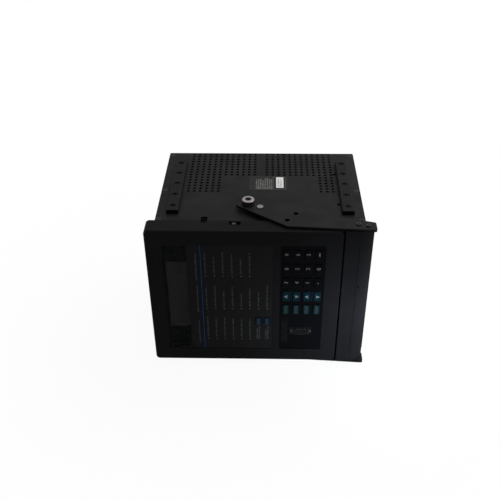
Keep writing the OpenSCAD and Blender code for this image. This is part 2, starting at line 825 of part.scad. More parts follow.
module rail_screws() {
  head = rail_head_r - rail_screw_r;
  top = cover_z + rail_h - rail_sink;
  reach = 3;
  socket_r = 1.7;
  socket_d = 1.2;
  color(BLACK) place() both_sides() for (x = rail_xs, i = [0:4]) {
    at = [x + rail_w / 2, rail_y + rail_first + i * rail_pitch];
    difference() {
      union() {
        disc(at, rail_screw_r, frame_z - reach, top - head + 0.1);
        translate([at[0], at[1], top - head]) cylinder(r1 = rail_screw_r, r2 = rail_head_r, h = head);
      }
      translate([at[0], at[1], top - socket_d]) cylinder(r = socket_r, h = socket_d + eps, $fn = 6);
    }
  }
}

// Moulded plug with a rim on the rear wall and a grid of cells for its blades
module plug_block(x, height, cells, cell) {
  color(BLACK) difference() {
    union() {
      slab(plug_front, chassis_d + plug_proud - plug_front)
        translate([x, -plug_w / 2]) square([height, plug_w]);
      slab(chassis_d, plug_rim_t) translate([x - plug_rim, -plug_w / 2 - plug_rim])
        rounded([height, plug_w] + 2 * [plug_rim, plug_rim], 3);
    }
    for (c = cells) slab(chassis_d + plug_proud - cell_d, cell_d + eps)
      translate(c) square(cell, center = true);
  }
}

signal_columns = 6;
signal_pitch_z = 27;
signal_rows = floor((signal_h - 12) / signal_pitch_x);
SIGNAL_CELLS = [
  for (i = [0:signal_rows - 1], j = [0:signal_columns - 1])
    [signal_x + signal_h / 2 + (i - (signal_rows - 1) / 2) * signal_pitch_x,
     (j - (signal_columns - 1) / 2) * signal_pitch_z]
];
power_columns = floor((plug_w - 8) / power_pitch_z);
POWER_CELLS = [
  for (i = [-0.5, 0.5], j = [0:power_columns - 1])
    [power_x + power_h / 2 + i * power_h / 2, (j - (power_columns - 1) / 2) * power_pitch_z]
];
signal_cell = [7, 12];
power_cell = [16, 8];

module signal_plug() {
  place() plug_block(signal_x, signal_h, SIGNAL_CELLS, signal_cell);
}

module power_plug() {
  place() plug_block(power_x, power_h, POWER_CELLS, power_cell);
}

// Flat blades that stand on the floors of the plugs' cells
module contact_blades() {
  y = chassis_d + plug_proud - cell_d;
  signal_blade = [1, 6];
  power_blade = [9, 1.6];
  color(BRASS) place() slab(y, rear_end - y) {
    for (c = SIGNAL_CELLS) translate(c) square(signal_blade, center = true);
    for (c = POWER_CELLS) translate(c) square(power_blade, center = true);
  }
}

// Circuit board that stands in a pair of card guides and reaches the plugs
module card(z) {
  color(BOARD) translate([card_x0, guide_y + 2, z - board_t / 2])
    cube([card_x1 - card_x0, plug_front - seat_fit - guide_y - 2, board_t]);
}

module main_board() {
  place() card(card_zs[1]);
}

module input_board() {
  place() card(card_zs[0]);
}

module supply_board() {
  place() card(card_zs[2]);
}

// Slotted guides on the chassis's top and bottom walls
module card_guides() {
  length = plug_front - guide_y - 8;
  slot = board_t + 2 * seat_fit;
  color(PLASTIC) place() for (z = card_zs) {
    difference() {
      translate([chassis_x + sheet, guide_y, z - guide_w / 2]) cube([guide_h, length, guide_w]);
      translate([chassis_x + sheet + guide_h - guide_slot, guide_y - eps, z - slot / 2])
        cube([guide_h, length + 2 * eps, slot]);
    }
    difference() {
      translate([chassis_end - sheet - guide_h, guide_y, z - guide_w / 2])
        cube([guide_h, length, guide_w]);
      translate([chassis_end - sheet - 2 * guide_h + guide_slot, guide_y - eps, z - slot / 2])
        cube([guide_h, length + 2 * eps, slot]);
    }
  }
}

// Ring cores that stand on the input board
module current_transformers() {
  r = 15;
  hole = 6;
  height = 16;
  pitch = 34;
  row_pitch = 38;
  z = card_zs[0] + board_t / 2;
  color([0.5, 0.42, 0.2]) place() for (i = [0:3], j = [0:1]) {
    at = [pivot_x + (i - 1.5) * pitch, plug_front - 2 * r - j * row_pitch];
    difference() {
      disc(at, r, z, z + height);
      disc(at, hole, z - eps, z + height + eps);
    }
  }
}

// Sealed relays that stand on the supply board
module output_relays() {
  case_w = 12.6;
  case_l = 29;
  case_h = 15.7;
  pitch = 20;
  rear_gap = 31;
  y = plug_front - rear_gap - case_l;
  z = card_zs[2] - board_t / 2 - case_h;
  color([0.2, 0.25, 0.5]) place() for (i = [0:7])
    translate([pivot_x + (i - 3.5) * pitch - case_w / 2, y, z]) cube([case_w, case_l, case_h]);
}

// Turned pins in the side covers: inner head, spacer and bright journal for an arm
module pivot_pins() {
  head_r = 6;
  head_h = 2;
  proud = 0.6;
  color(STEEL) place() both_sides() {
    at = [pivot_x, pivot_y];
    disc(at, head_r, frame_z - head_h, frame_z);
    disc(at, pivot_shank_r, frame_z - eps, cover_z + eps);
    disc(at, pivot_flange_r, cover_z, arm_z - seat_fit);
    disc(at, pivot_r, arm_z - seat_fit - eps, arm_top + proud);
  }
}

// Section of the handle bar behind its flat and curved front, from the groove to the outer edge
module bar_section(inset, depth, reach) {
  translate([bar_x - reach, inset]) square([bar_ridge + reach, depth - inset]);
  intersection() {
    translate([bar_x + bar_ridge, bar_round]) circle(bar_round - inset, $fn = 96);
    translate([bar_x + bar_ridge - 0.01, inset]) square([bar_h - bar_ridge + reach, depth - inset]);
  }
}

// Moulded bar: a bowed front wall, two end blocks for the arms, a catch and a seal hole
module handle_bar() {
  block_lean = 8;
  seal_r = 1.5;
  seal_z = 24.5;
  ridge_w = 0.8;
  catch_w = 20;
  catch_t = 2.5;
  rib_t = 2;
  rib_y = bar_catch_y - 1;
  rib_zs = [-75, -40, 40, 75];
  color(PLASTIC) place() difference() {
    union() {
      translate([0, 0, -arm_z]) linear_extrude(2 * arm_z) difference() {
        bar_section(0, bar_d, 0.01);
        bar_section(bar_wall, bar_d + eps, eps);
        translate([bar_x + bar_ridge - ridge_w, -eps]) square([ridge_w, eps + 0.5]);
      }
      both_sides() translate([0, 0, arm_z - bar_end_t]) linear_extrude(bar_end_t) intersection() {
        bar_section(0.5, bar_d, 0.01);
        polygon([
          [bar_x, 0], [front_h, 0], [front_h, bar_d], [bar_x + block_lean, bar_d], [bar_x, bar_wall]
        ]);
      }
      for (z = rib_zs) translate([0, 0, z - rib_t / 2]) linear_extrude(rib_t) intersection() {
        bar_section(bar_wall - eps, bar_d, 0.01);
        translate([bar_x, 0]) square([bar_h - bar_wall, rib_y]);
      }
      translate([bar_x + bar_ridge - catch_t, bar_wall - eps, -catch_w / 2])
        cube([catch_t, bar_catch_y - bar_wall + eps, catch_w]);
    }
    translate([0, 0, -arm_z - eps]) linear_extrude(bar_step_l + eps) difference() {
      translate([bar_x + bar_ridge, -eps]) square([bar_h, bar_d]);
      bar_section(bar_step_d, bar_d + 2 * eps, bar_h);
    }
    post([bar_x + bar_ridge + 2.5, seal_z], seal_r, -eps, bar_d);
    both_sides() for (p = bar_screw_at) disc(p, screw_r + run_fit, arm_z - 7, arm_z + eps);
  }
}

// Flat arm on one side: a slanted leg over the pivot and a straight leg to the bar
module arm_plate() {
  tip_r = 7;
  back_r = 8;
  bend_r = 6.4;
  elbow_r = 9;
  end_r = 3;
  end_x = arm_end - end_r;
  end_ys = [end_r + 0.2, bar_d - end_r + 0.4];
  color(PLASTIC) difference() {
    translate([0, 0, arm_z]) linear_extrude(arm_t) {
      hull() {
        translate(arm_tip) circle(tip_r, $fn = 32);
        translate(arm_back) circle(back_r, $fn = 32);
        translate(arm_bend) circle(bend_r, $fn = 32);
        translate(arm_elbow) circle(elbow_r, $fn = 32);
      }
      hull() {
        translate(arm_bend) circle(bend_r, $fn = 32);
        translate(arm_elbow) circle(elbow_r, $fn = 32);
        for (y = end_ys) translate([end_x, y]) circle(end_r, $fn = 32);
      }
    }
    disc([pivot_x, pivot_y], pivot_r + run_fit, arm_z - eps, arm_top + eps);
    disc(roller_at, roller_pin_r + run_fit, arm_z - eps, arm_top + eps);
    for (p = arm_hole_at) disc(p, arm_hole_r, arm_z - eps, arm_top + eps);
    for (p = bar_screw_at) disc(p, screw_r + seat_fit, arm_z - eps, arm_top + eps);
  }
}

module right_arm() {
  place() arm_plate();
}

module left_arm() {
  place() mirror([0, 0, 1]) arm_plate();
}

// Button-head screws that hold the arms to the bar
module handle_screws() {
  head_h = 1.8;
  reach = 6;
  socket_r = 1.3;
  socket_d = 1;
  color(BLACK) place() both_sides() for (p = bar_screw_at) difference() {
    union() {
      disc(p, screw_r, arm_z - reach, arm_top + eps);
      disc(p, screw_head_r, arm_top, arm_top + head_h);
    }
    translate([p[0], p[1], arm_top + head_h - socket_d])
      cylinder(r = socket_r, h = socket_d + eps, $fn = 6);
  }
}

// Socket-head pins that carry the cam rollers
module roller_pins() {
  socket_r = 2.3;
  socket_d = 1.4;
  head_z = roller_top - roller_well + seat_fit;
  color(BLACK) place() both_sides() difference() {
    union() {
      disc(roller_at, roller_pin_r, arm_z, head_z + eps);
      disc(roller_at, roller_head_r, head_z, head_z + roller_head_h);
    }
    translate([roller_at[0], roller_at[1], head_z + roller_head_h - socket_d])
      cylinder(r = socket_r, h = socket_d + eps, $fn = 6);
  }
}

// Turned roller with chamfered rims and a well for the head of its pin
module cam_roller() {
  chamfer = 0.6;
  well_r = roller_head_r + 0.4;
  bore = roller_pin_r + run_fit;
  color(STEEL) translate([roller_at[0], roller_at[1], roller_z]) rotate_extrude() polygon([
    [bore, 0], [roller_r - chamfer, 0], [roller_r, chamfer], [roller_r, roller_l - chamfer],
    [roller_r - chamfer, roller_l], [well_r, roller_l], [well_r, roller_l - roller_well],
    [bore, roller_l - roller_well]
  ]);
}

module right_roller() {
  place() cam_roller();
}

module left_roller() {
  place() mirror([0, 0, 1]) cam_roller();
}

// Slotted tongue on the chassis's lower lip, with a thumb end and a hook behind the bar
module locking_latch() {
  thumb = 6;
  x0 = frame_h + latch_travel + latch_gap;
  x1 = chassis_end + thumb;
  slot_r = latch_stud_r + seat_fit;
  hook_x = bar_x + bar_ridge - latch_reach;
  hook_y = bar_catch_y + catch_gap;
  prong_w = 3;
  color(STEEL) place() difference() {
    union() {
      slab(latch_y, latch_t) translate([x0, -latch_w / 2]) rounded([x1 - x0, latch_w], 2);
      for (z = [-latch_w / 2, latch_w / 2 - prong_w])
        translate([hook_x, hook_y, z]) cube([prong_w, latch_y - hook_y + eps, prong_w]);
    }
    for (x = latch_stud_x) {
      post([x, 0], slot_r, latch_y - eps, lip_y);
      post([x + latch_travel, 0], slot_r, latch_y - eps, lip_y);
      translate([x, latch_y - eps, -slot_r]) cube([latch_travel, latch_t + 2 * eps, 2 * slot_r]);
    }
  }
}

front_bezel();
display_window();
display_module();
status_overlay();
status_lamps();
keypad_overlay();
front_board();
key_switches();
port_shell();
port_insert();
jack_screws();
chassis_frame();
right_cover();
left_cover();
cover_screws();
bezel_screws();
bezel_clips();
right_rails();
left_rails();
rail_screws();
signal_plug();
power_plug();
contact_blades();
main_board();
input_board();
supply_board();
card_guides();
current_transformers();
output_relays();
pivot_pins();
handle_bar();
right_arm();
left_arm();
handle_screws();
roller_pins();
right_roller();
left_roller();
locking_latch();
for (k = KEYS) key_cap(k[1], k[2], k[3]);
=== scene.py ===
"""Looks of a draw-out protection relay that lies on its left side, laid out as an add-on."""
import json
import math
import random

import bmesh
import bpy
from bpy.props import FloatProperty, FloatVectorProperty, PointerProperty
from mathutils import Matrix, Vector

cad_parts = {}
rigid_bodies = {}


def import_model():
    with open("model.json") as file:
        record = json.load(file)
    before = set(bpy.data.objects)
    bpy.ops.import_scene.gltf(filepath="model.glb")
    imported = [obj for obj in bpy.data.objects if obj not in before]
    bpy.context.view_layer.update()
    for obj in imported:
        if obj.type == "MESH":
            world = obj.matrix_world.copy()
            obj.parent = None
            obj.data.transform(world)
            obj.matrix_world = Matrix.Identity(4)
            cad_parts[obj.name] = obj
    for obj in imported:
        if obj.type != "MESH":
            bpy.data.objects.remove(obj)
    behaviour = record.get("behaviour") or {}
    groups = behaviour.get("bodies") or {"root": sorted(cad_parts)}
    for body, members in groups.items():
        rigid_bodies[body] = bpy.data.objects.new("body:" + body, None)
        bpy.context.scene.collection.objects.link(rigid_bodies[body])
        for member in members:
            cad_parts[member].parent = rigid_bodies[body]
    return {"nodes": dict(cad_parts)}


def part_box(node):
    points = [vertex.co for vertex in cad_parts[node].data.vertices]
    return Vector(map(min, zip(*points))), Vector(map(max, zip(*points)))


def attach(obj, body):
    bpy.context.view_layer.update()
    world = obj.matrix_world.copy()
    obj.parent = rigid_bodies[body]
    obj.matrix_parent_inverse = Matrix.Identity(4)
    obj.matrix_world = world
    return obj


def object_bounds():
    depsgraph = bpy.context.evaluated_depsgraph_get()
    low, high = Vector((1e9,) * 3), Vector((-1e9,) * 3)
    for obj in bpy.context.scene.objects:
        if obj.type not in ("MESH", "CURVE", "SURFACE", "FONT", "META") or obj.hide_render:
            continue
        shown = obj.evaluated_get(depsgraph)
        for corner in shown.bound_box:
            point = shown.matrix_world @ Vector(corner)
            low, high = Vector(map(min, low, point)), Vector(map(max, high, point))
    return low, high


bl_info = {
    "name": "Protection relay looks",
    "version": (1, 0, 0),
    "blender": (4, 5, 0),
    "location": "3D View > Sidebar > Relay",
    "description": "Finishes, prints and studio for a draw-out protection relay",
    "category": "Object",
}

for leftover in list(bpy.data.objects):
    bpy.data.objects.remove(leftover)
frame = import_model()
CAD_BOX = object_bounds()
NODES = frame["nodes"]
MM = 0.001

# Status lamps in each column, from the relay's left, and the radius of a lamp
LAMP_COUNTS = (6, 8, 6)
LAMP_R = 1.6 * MM
# Length in mm of each legend, by lamp column, and of each column's heading
LEGENDS = ((37, 36, 36, 35, 34, 33), (32, 36, 28, 34, 23, 31, 26, 38), (34, 28, 36, 32, 26, 34))
HEADINGS = (40, 48, 44)
# Fewest and most letters in a word, and letter sizes as shares of their pitch and full height
WORD_LETTERS = (3, 8)
LETTER_WIDTHS = (0.72, 0.88)
LETTER_HEIGHTS = (0.7, 0.7, 0.7, 1.0)
# Lines of print on the rating plate and on its patch, with their least and greatest length in mm
PLATE_LINES = 8
PLATE_REACH = (24, 33)
PATCH_LINES = 2
PATCH_REACH = (18, 24)
# Starting values of the random draws of each print
SEEDS = {"status": 11, "help": 5, "port": 3, "plate": 7, "patch": 9}
# Font size of a numeral as a multiple of its height
FONT_SIZE = 1.4
# Share of a key's height that its pale field takes
FIELD_SHARE = 0.44
# Sides of an arrow, of a dot and of the floor, and steps round a corner
ARROW_SIDES = 3
DOT_SIDES = 24
FLOOR_SIDES = 96
CORNER_STEPS = 5
# Least share of an edge that runs along a plate's normal, for the edge to be rounded
EDGE_SHARE = 0.9
# Grain of the key plastic, in grains a metre
KEY_GRAIN = 4000
# Width of the camera's sensor in mm, and the nearest distance that it sees
SENSOR_MM = 36.0
CLIP_START = 10 * MM
WHITE = (1.0, 1.0, 1.0, 1.0)
NUMBER_KEYS = {f"key_num_{digit}": str(digit) for digit in range(10)}
ARROW_KEYS = {"key_up_1": 0, "key_down_1": math.pi, "key_up_2": 0, "key_down_2": math.pi}
FUNCTION_KEYS = tuple(f"key_function_{i}" for i in range(1, 5))
STATUS_KEYS = ("key_status_1", "key_status_2")


def tint(name, words, default):
    """A colour that a user may change."""
    return FloatVectorProperty(
        name=name, description=words, subtype="COLOR", size=3, min=0.0, max=1.0, default=default
    )


def length(name, words, default):
    """A length in metres that a user may change."""
    return FloatProperty(
        name=name, description=words, unit="LENGTH", min=0.0, precision=5, default=default
    )


def angle(name, words, degrees):
    """An angle that a user may change."""
    return FloatProperty(name=name, description=words, subtype="ANGLE", default=math.radians(degrees))


def position(name, words, default):
    """A place in metres that a user may change."""
    return FloatVectorProperty(name=name, description=words, subtype="TRANSLATION", default=default)


def watts(name, words, default):
    """The power of a light that a user may change."""
    return FloatProperty(name=name, description=words, unit="POWER", min=0.0, default=default)


def portion(name, words, default):
    """A share of one that a user may change."""
    return FloatProperty(
        name=name, description=words, subtype="FACTOR", min=0.0, max=1.0, default=default
    )


class RelayColours(bpy.types.PropertyGroup):
    """Colours of the relay's plastics, coats and prints, and of the floor."""

    bezel: tint("Bezel", "Moulded front and handle bar", (0.0054, 0.0055, 0.0060))
    powder: tint("Powder coat", "Sheet metal of the chassis and the arms", (0.0062, 0.0062, 0.0066))
    rail: tint("Rails", "Moulded guide rails", (0.0112, 0.0112, 0.0118))
    plug: tint("Rear plugs", "Moulded plug blocks at the rear", (0.012, 0.012, 0.013))
    film: tint("Status film", "Printed film round the lamps", (0.0080, 0.0080, 0.0081))
    key_film: tint("Keypad film", "Printed film round the keys", (0.0013, 0.0014, 0.0019))
    pane: tint("Window pane", "Smoked lens over the display", (0.0122, 0.0136, 0.0130))
    display: tint("Display", "Glass of the display", (0.060, 0.068, 0.063))
    lamp: tint("Lamps", "Milky plastic of the lamps", (0.034, 0.034, 0.032))
    insulator: tint("Port insulator", "Moulded insert of the port", (0.0055, 0.0055, 0.0058))
    key_dark: tint("Number keys", "Keys with numbers", (0.0014, 0.0015, 0.0022))
    key_arrow: tint("Arrow keys", "Keys with arrows", (0.0018, 0.0104, 0.0152))
    # Arrow fields are 1.4 times the arrow keys' colour: real print, lifted as painted light against the
    # keys' shadow
    arrow_field: tint("Arrow fields", "Print between two arrow keys", (0.00252, 0.01456, 0.02128))
    key_teal: tint("Function keys", "Rims of the function keys", (0.0014, 0.0052, 0.0062))
    key_teal_field: tint("Function fields", "Pale tops of the function keys", (0.0090, 0.0215, 0.0250))
    key_blue: tint("Status keys", "Rims of the status keys", (0.0022, 0.0060, 0.0165))
    key_blue_field: tint("Status fields", "Pale tops of the status keys", (0.0128, 0.0230, 0.0320))
    ink: tint("Ink", "Pale print on the number keys", (0.13, 0.13, 0.127))
    arrow_ink: tint("Arrow ink", "White print on the arrow keys", (0.112, 0.132, 0.140))
    legend: tint("Legend ink", "Grey print on the status film", (0.035, 0.035, 0.034))
    port_legend: tint("Port ink", "Faint print beside the port", (0.0065, 0.0067, 0.0064))
    band: tint("Blue band", "Wide stripe across the status film", (0.0016, 0.0045, 0.0115))
    band_line: tint("Blue line", "Thin bright stripe in the band", (0.022, 0.039, 0.058))
    plate: tint("Rating plate", "Film of the plate on the cover", (0.020, 0.020, 0.020))
    plate_ink: tint("Plate ink", "Grey print on the plate", (0.12, 0.12, 0.115))
    patch: tint("White patch", "Pale field on the plate", (0.55, 0.55, 0.54))
    patch_ink: tint("Patch ink", "Grey marks on the pale field", (0.288, 0.288, 0.276))
    board: tint("Boards", "Coat of the circuit boards", (0.002, 0.009, 0.0045))
    guide: tint("Card guides", "Moulded card guides and key switches", (0.02, 0.02, 0.02))
    core: tint("Cores", "Taped windings of the transformers", (0.16, 0.11, 0.03))
    relay_case: tint("Relay cases", "Cases of the output relays", (0.02, 0.03, 0.09))
    floor: tint("Floor", "Studio floor", (0.90, 0.90, 0.90))


class RelayMetals(bpy.types.PropertyGroup):
    """Colours of the bare and plated metals."""

    screw: tint("Black screws", "Screws of covers and handle, and roller pins", (0.020, 0.020, 0.021))
    rail_screw: tint("Rail screws", "Blackened screws of the rails", (0.006, 0.006, 0.0065))
    clip: tint("Clips", "Dull zinc of the bezel's clips", (0.042, 0.042, 0.041))
    port_shell: tint("Port shell", "Level faces of the port's shell", (0.075, 0.075, 0.072))
    jack_screw: tint("Jack screws", "Level faces of the port's jack screws", (0.11, 0.11, 0.107))
    zinc: tint("Bright zinc", "Latch and screws of the bezel", (0.30, 0.30, 0.29))
    contact: tint("Contacts", "Plated brass of the contact blades", (0.60, 0.45, 0.20))
    roller: tint("Rollers", "Turned steel of the cam rollers", (0.235, 0.218, 0.213))
    pivot: tint("Pivots", "Turned steel of the pivot pins", (0.17, 0.166, 0.157))


class RelayPrint(bpy.types.PropertyGroup):
    """Sizes of the prints, and places of those on the front."""

    ink: length("Ink", "Half the thickness of a print", 0.04 * MM)
    letter: length("Letter height", "Height of a legend's letters", 2.5 * MM)
    pitch: length("Letter pitch", "Spacing of a legend's letters", 1.45 * MM)
    legend_gap: length("Legend gap", "Distance from a lamp to its legend", 4.5 * MM)
    heading_at: length("Headings", "Distance from the lens to the column headings", 12.6 * MM)
    heading_back: length("Heading start", "How far a heading starts before its lamps", 6.75 * MM)
    band_at: length("Band", "Distance from the lens to the middle of the blue band", 18.6 * MM)
    band_w: length("Band width", "Width of the blue band", 7.5 * MM)
    band_corner: length("Band corner", "Corner radius of the band and its line", 0.2 * MM)
    line_at: length("Line", "Distance from the lens to the bright line in the band", 19.2 * MM)
    line_w: length("Line width", "Width of the bright line in the band", 0.9 * MM)
    status_back: length("Status legend", "How far a status key's legend starts before the key", 27 * MM)
    status_row: length("Status rows", "Distance of its two rows from the key's middle", 1.4 * MM)
    status_reach: length("Status reach", "Mean length of its two rows", 22 * MM)
    status_step: length("Status step", "How far each row differs from that length", 3 * MM)
    numeral: length("Numerals", "Height of the key numerals", 5.4 * MM)
    numeral_shift: length("Numeral shift", "Distance of a numeral from its key's middle", 1.2 * MM)
    arrow: length("Arrows", "Radius of the key arrows", 3.3 * MM)
    arrow_gap: length("Arrow gap", "Gap between an arrow key and the print beside it", 0.8 * MM)
    arrow_rim: length("Arrow rim", "How far that print ends before the key's ends", 0.5 * MM)
    arrow_corner: length("Arrow corner", "Corner radius of that print", 0.3 * MM)
    field_rim: length("Field rim", "How far a key's pale field ends before the key's ends", 1.5 * MM)
    field_corner: length("Field corner", "Corner radius of a key's pale field", 0.8 * MM)
    dot: length("Dot", "Radius of the dot on the point key", 0.8 * MM)
    help_back: length("Help start", "How far the help marks start before the key's middle", 1.5 * MM)
    help_reach: length("Help reach", "Length of the help marks", 5 * MM)
    port_at: length("Port legend", "Distance from the keypad film's end to the port's legend", 7.5 * MM)
    port_l: length("Port frame", "Length of the frame round the port's legend", 45 * MM)
    port_w: length("Port frame width", "Width of that frame", 8 * MM)
    port_line: length("Port line", "Width of that frame's lines", 0.35 * MM)
    port_back: length("Port start", "How far the port's legend starts before its middle", 19 * MM)
    port_row: length("Port rows", "Distance of its two rows from its middle", 1.8 * MM)
    port_reach: length("Port reach", "Length of its two rows", 37 * MM)


class RelayPlate(bpy.types.PropertyGroup):
    """Sizes and places of the rating plate and of its print."""

    plate_l: length("Plate length", "Rating plate along the relay's height", 55 * MM)
    plate_w: length("Plate width", "Rating plate along the relay's depth", 40 * MM)
    plate_x: length("Plate place", "Distance from the cover's top edge to the plate", 124.5 * MM)
    plate_y: length("Plate depth", "Distance from the cover's front edge to the plate", 89 * MM)
    half: length("Plate film", "Half the thickness of the plate", 0.08 * MM)
    corner: length("Plate corner", "Corner radius of the plate", 1.5 * MM)
    lines_back: length("Lines start", "How far the lines start before the plate's middle", 17 * MM)
    lines_up: length("First line", "Height of the first line above the plate's middle", 17 * MM)
    lines_pitch: length("Line pitch", "Spacing of the lines", 3.1 * MM)
    patch_shift: length("Patch shift", "Distance of the patch after the plate's middle", 2 * MM)
    patch_drop: length("Patch drop", "Distance of the patch below the plate's middle", 16.5 * MM)
    patch_l: length("Patch length", "Length of the patch", 30 * MM)
    patch_w: length("Patch width", "Width of the patch", 10.6 * MM)
    patch_corner: length("Patch corner", "Corner radius of the patch", 0.5 * MM)
    frame_drop: length("Frame drop", "Distance of the patch's frame below the plate's middle", 15.75 * MM)
    frame_l: length("Frame length", "Length of that frame", 36 * MM)
    frame_w: length("Frame width", "Width of that frame", 17.5 * MM)
    frame_line: length("Frame line", "Width of that frame's lines", 0.3 * MM)
    marks_back: length("Marks start", "How far the patch's marks start before the plate's middle", 10 * MM)
    marks_drop: length("First marks", "Distance of the first marks below the plate's middle", 14.8 * MM)
    marks_pitch: length("Marks pitch", "Spacing of the lines of marks", 3.4 * MM)


class RelayStudio(bpy.types.PropertyGroup):
    """Camera, lights and floor."""

    lens: FloatProperty(
        name="Lens", description="Focal length in mm", subtype="DISTANCE_CAMERA", default=51.94
    )
    place: position("Camera", "Place of the camera", (0.0080, -0.8881, 0.7641))
    pitch: angle("Pitch", "How far the camera looks down", 35.58)
    yaw: angle("Yaw", "How far the camera turns to its right", -1.52)
    roll: angle("Roll", "How far the camera leans", -0.43)
    top_power: watts("Top light", "Power of the soft box above", 22.0)
    top_place: position("Top place", "Place of the soft box above", (0.52, 0.28, 1.40))
    top_aim: position("Top aim", "Where the soft box above points", (0.0, 0.0, 0.15))
    top_size: length("Top size", "Side of the soft box above", 1.2)
    fill_power: watts("Fill light", "Power of the soft box in front", 0.42)
    fill_place: position("Fill place", "Place of the soft box in front", (0.34, -0.38, 0.17))
    fill_aim: position("Fill aim", "Where the soft box in front points", (0.18, -0.12, 0.09))
    fill_size: length("Fill size", "Side of the soft box in front", 0.15)
    fill_tint: tint("Fill tint", "Colour of the soft box in front", (0.80, 0.88, 1.0))
    fill_spread: angle("Fill spread", "How wide the soft box in front spreads its light", 44)
    sky: portion("Sky", "Level of the light from all round", 0.27)
    floor_r: length("Floor", "Radius of the floor", 8.0)
    fade_r: length("Fade", "Radius at which the floor starts to turn white", 0.3)
    glow: portion("Glow", "Share of plain white in the floor near the relay", 0.94)


class Finish:
    """A material in the making: its shader, its Object coordinates and short ways to add nodes."""

    def __init__(self, name, colour, roughness, metallic=0.0, specular=0.5):
        self.material = bpy.data.materials.new(name)
        self.material.use_nodes = True
        self.tree = self.material.node_tree
        self.shader = self.tree.nodes["Principled BSDF"]
        self.colour = tuple(colour) + (1.0,)
        self.shader.inputs["Base Color"].default_value = self.colour
        self.shader.inputs["Roughness"].default_value = roughness
        self.shader.inputs["Metallic"].default_value = metallic
        self.shader.inputs["Specular IOR Level"].default_value = specular
        self.material.diffuse_color = self.colour
        self.place = self.add("ShaderNodeTexCoord").outputs["Object"]

    def add(self, kind, **inputs):
        """Adds a node and sets or links its named inputs."""
        node = self.tree.nodes.new(kind)
        for name, value in inputs.items():
            self.feed(node.inputs[name.replace("_", " ")], value)
        return node

    def feed(self, socket, value):
        """Links an output to a socket, or sets the socket's value."""
        if isinstance(value, bpy.types.NodeSocket):
            self.tree.links.new(value, socket)
        else:
            socket.default_value = value

    def noise(self, scale, detail):
        """Soft noise of about 1 / scale metres, finer with more detail."""
        return self.add("ShaderNodeTexNoise", Vector=self.place, Scale=scale, Detail=detail).outputs["Fac"]

    def mapped(self, **settings):
        """Object coordinates, turned, stretched or moved."""
        return self.add("ShaderNodeMapping", Vector=self.place, **settings).outputs["Vector"]

    def maths(self, operation, *values):
        """The result of a calculation on outputs or numbers."""
        node = self.tree.nodes.new("ShaderNodeMath")
        node.operation = operation
        for socket, value in zip(node.inputs, values):
            self.feed(socket, value)
        return node.outputs[0]

    def spread(self, value, low, high, start=0.3, end=0.7):
        """Maps a pattern from start..end to low..high."""
        node = self.add(
            "ShaderNodeMapRange", Value=value, From_Min=start, From_Max=end, To_Min=low, To_Max=high
        )
        return node.outputs["Result"]

    def share(self, part):
        """A share of the finish's own colour."""
        return [c * part for c in self.colour[:3]] + [1.0]

    def level(self):
        """1 on faces that lie level with the covers, and 0 on upright ones."""
        shape = self.add("ShaderNodeNewGeometry")
        normal = self.add("ShaderNodeSeparateXYZ", Vector=shape.outputs["True Normal"])
        flat = self.maths("ABSOLUTE", normal.outputs["Z"])
        return self.spread(flat, low=0.0, high=1.0, start=0.2, end=0.5)

    def mix(self, factor, first, second):
        """One colour, turning to another where the factor is 1."""
        node = self.tree.nodes.new("ShaderNodeMix")
        node.data_type = "RGBA"
        self.feed(node.inputs["Factor"], factor)
        # The node has sockets of the same names for numbers and vectors, so its colours go by place
        self.feed(node.inputs[6], first)
        self.feed(node.inputs[7], second)
        return node.outputs[2]

    def bricks(self, place, size, gap, shares, smooth=0.1):
        """Rows of bricks and the gaps between them, in three shares of the finish's own colour."""
        node = self.add(
            "ShaderNodeTexBrick", Vector=place, Scale=1.0, Brick_Width=size[0], Row_Height=size[1],
            Mortar_Size=gap, Mortar_Smooth=smooth,
        )
        for name, part in zip(("Color1", "Color2", "Mortar"), shares):
            node.inputs[name].default_value = self.share(part)
        return node

    def paint(self, colour):
        """Colours the surface."""
        self.feed(self.shader.inputs["Base Color"], colour)

    def paint_level(self, upright, coat):
        """Colours level faces with a coat, and upright ones with a share of the finish's own colour as
        painted shade.
        """
        self.paint(self.mix(self.level(), self.share(upright), coat))

    def tones(self, factor, low, high):
        """A colour between two shares of the finish's own."""
        return self.mix(factor, self.share(low), self.share(high))

    def rough(self, pattern, low, high):
        """Lets the roughness follow a pattern, from low to high."""
        self.feed(self.shader.inputs["Roughness"], self.spread(pattern, low, high))

    def bump(self, height, depth, strength):
        """Raises the surface by a pattern, depth in metres."""
        node = self.add("ShaderNodeBump", Height=height, Distance=depth, Strength=strength)
        under = self.shader.inputs["Normal"]
        if under.links:
            self.feed(node.inputs["Normal"], under.links[0].from_socket)
        self.feed(under, node.outputs["Normal"])


def moulded(name, colour, grain=2600, rough=(0.42, 0.58), specular=0.02):
    """Moulded plastic: fine grain, uneven gloss and slightly uneven colour."""
    finish = Finish(name, colour, roughness=0.5, specular=specular)
    finish.paint(finish.tones(finish.noise(scale=22, detail=3), low=0.75, high=1.3))
    finish.rough(finish.noise(scale=75, detail=4), *rough)
    finish.bump(finish.noise(scale=grain, detail=2), depth=0.04 * MM, strength=0.5)
    return finish.material


def slide_rail(name, colour):
    """Rail plastic: uneven tone on its level faces, and its upright sides darkened as painted shade."""
    finish = Finish(name, colour, roughness=0.5, specular=0.02)
    level_tone = finish.tones(finish.noise(scale=22, detail=3), low=0.75, high=1.3)
    # Upright sides at 0.3 of the colour are painted shade
    finish.paint_level(upright=0.3, coat=level_tone)
    finish.rough(finish.noise(scale=75, detail=4), low=0.5, high=0.62)
    finish.bump(finish.noise(scale=1800, detail=2), depth=0.04 * MM, strength=0.5)
    return finish.material


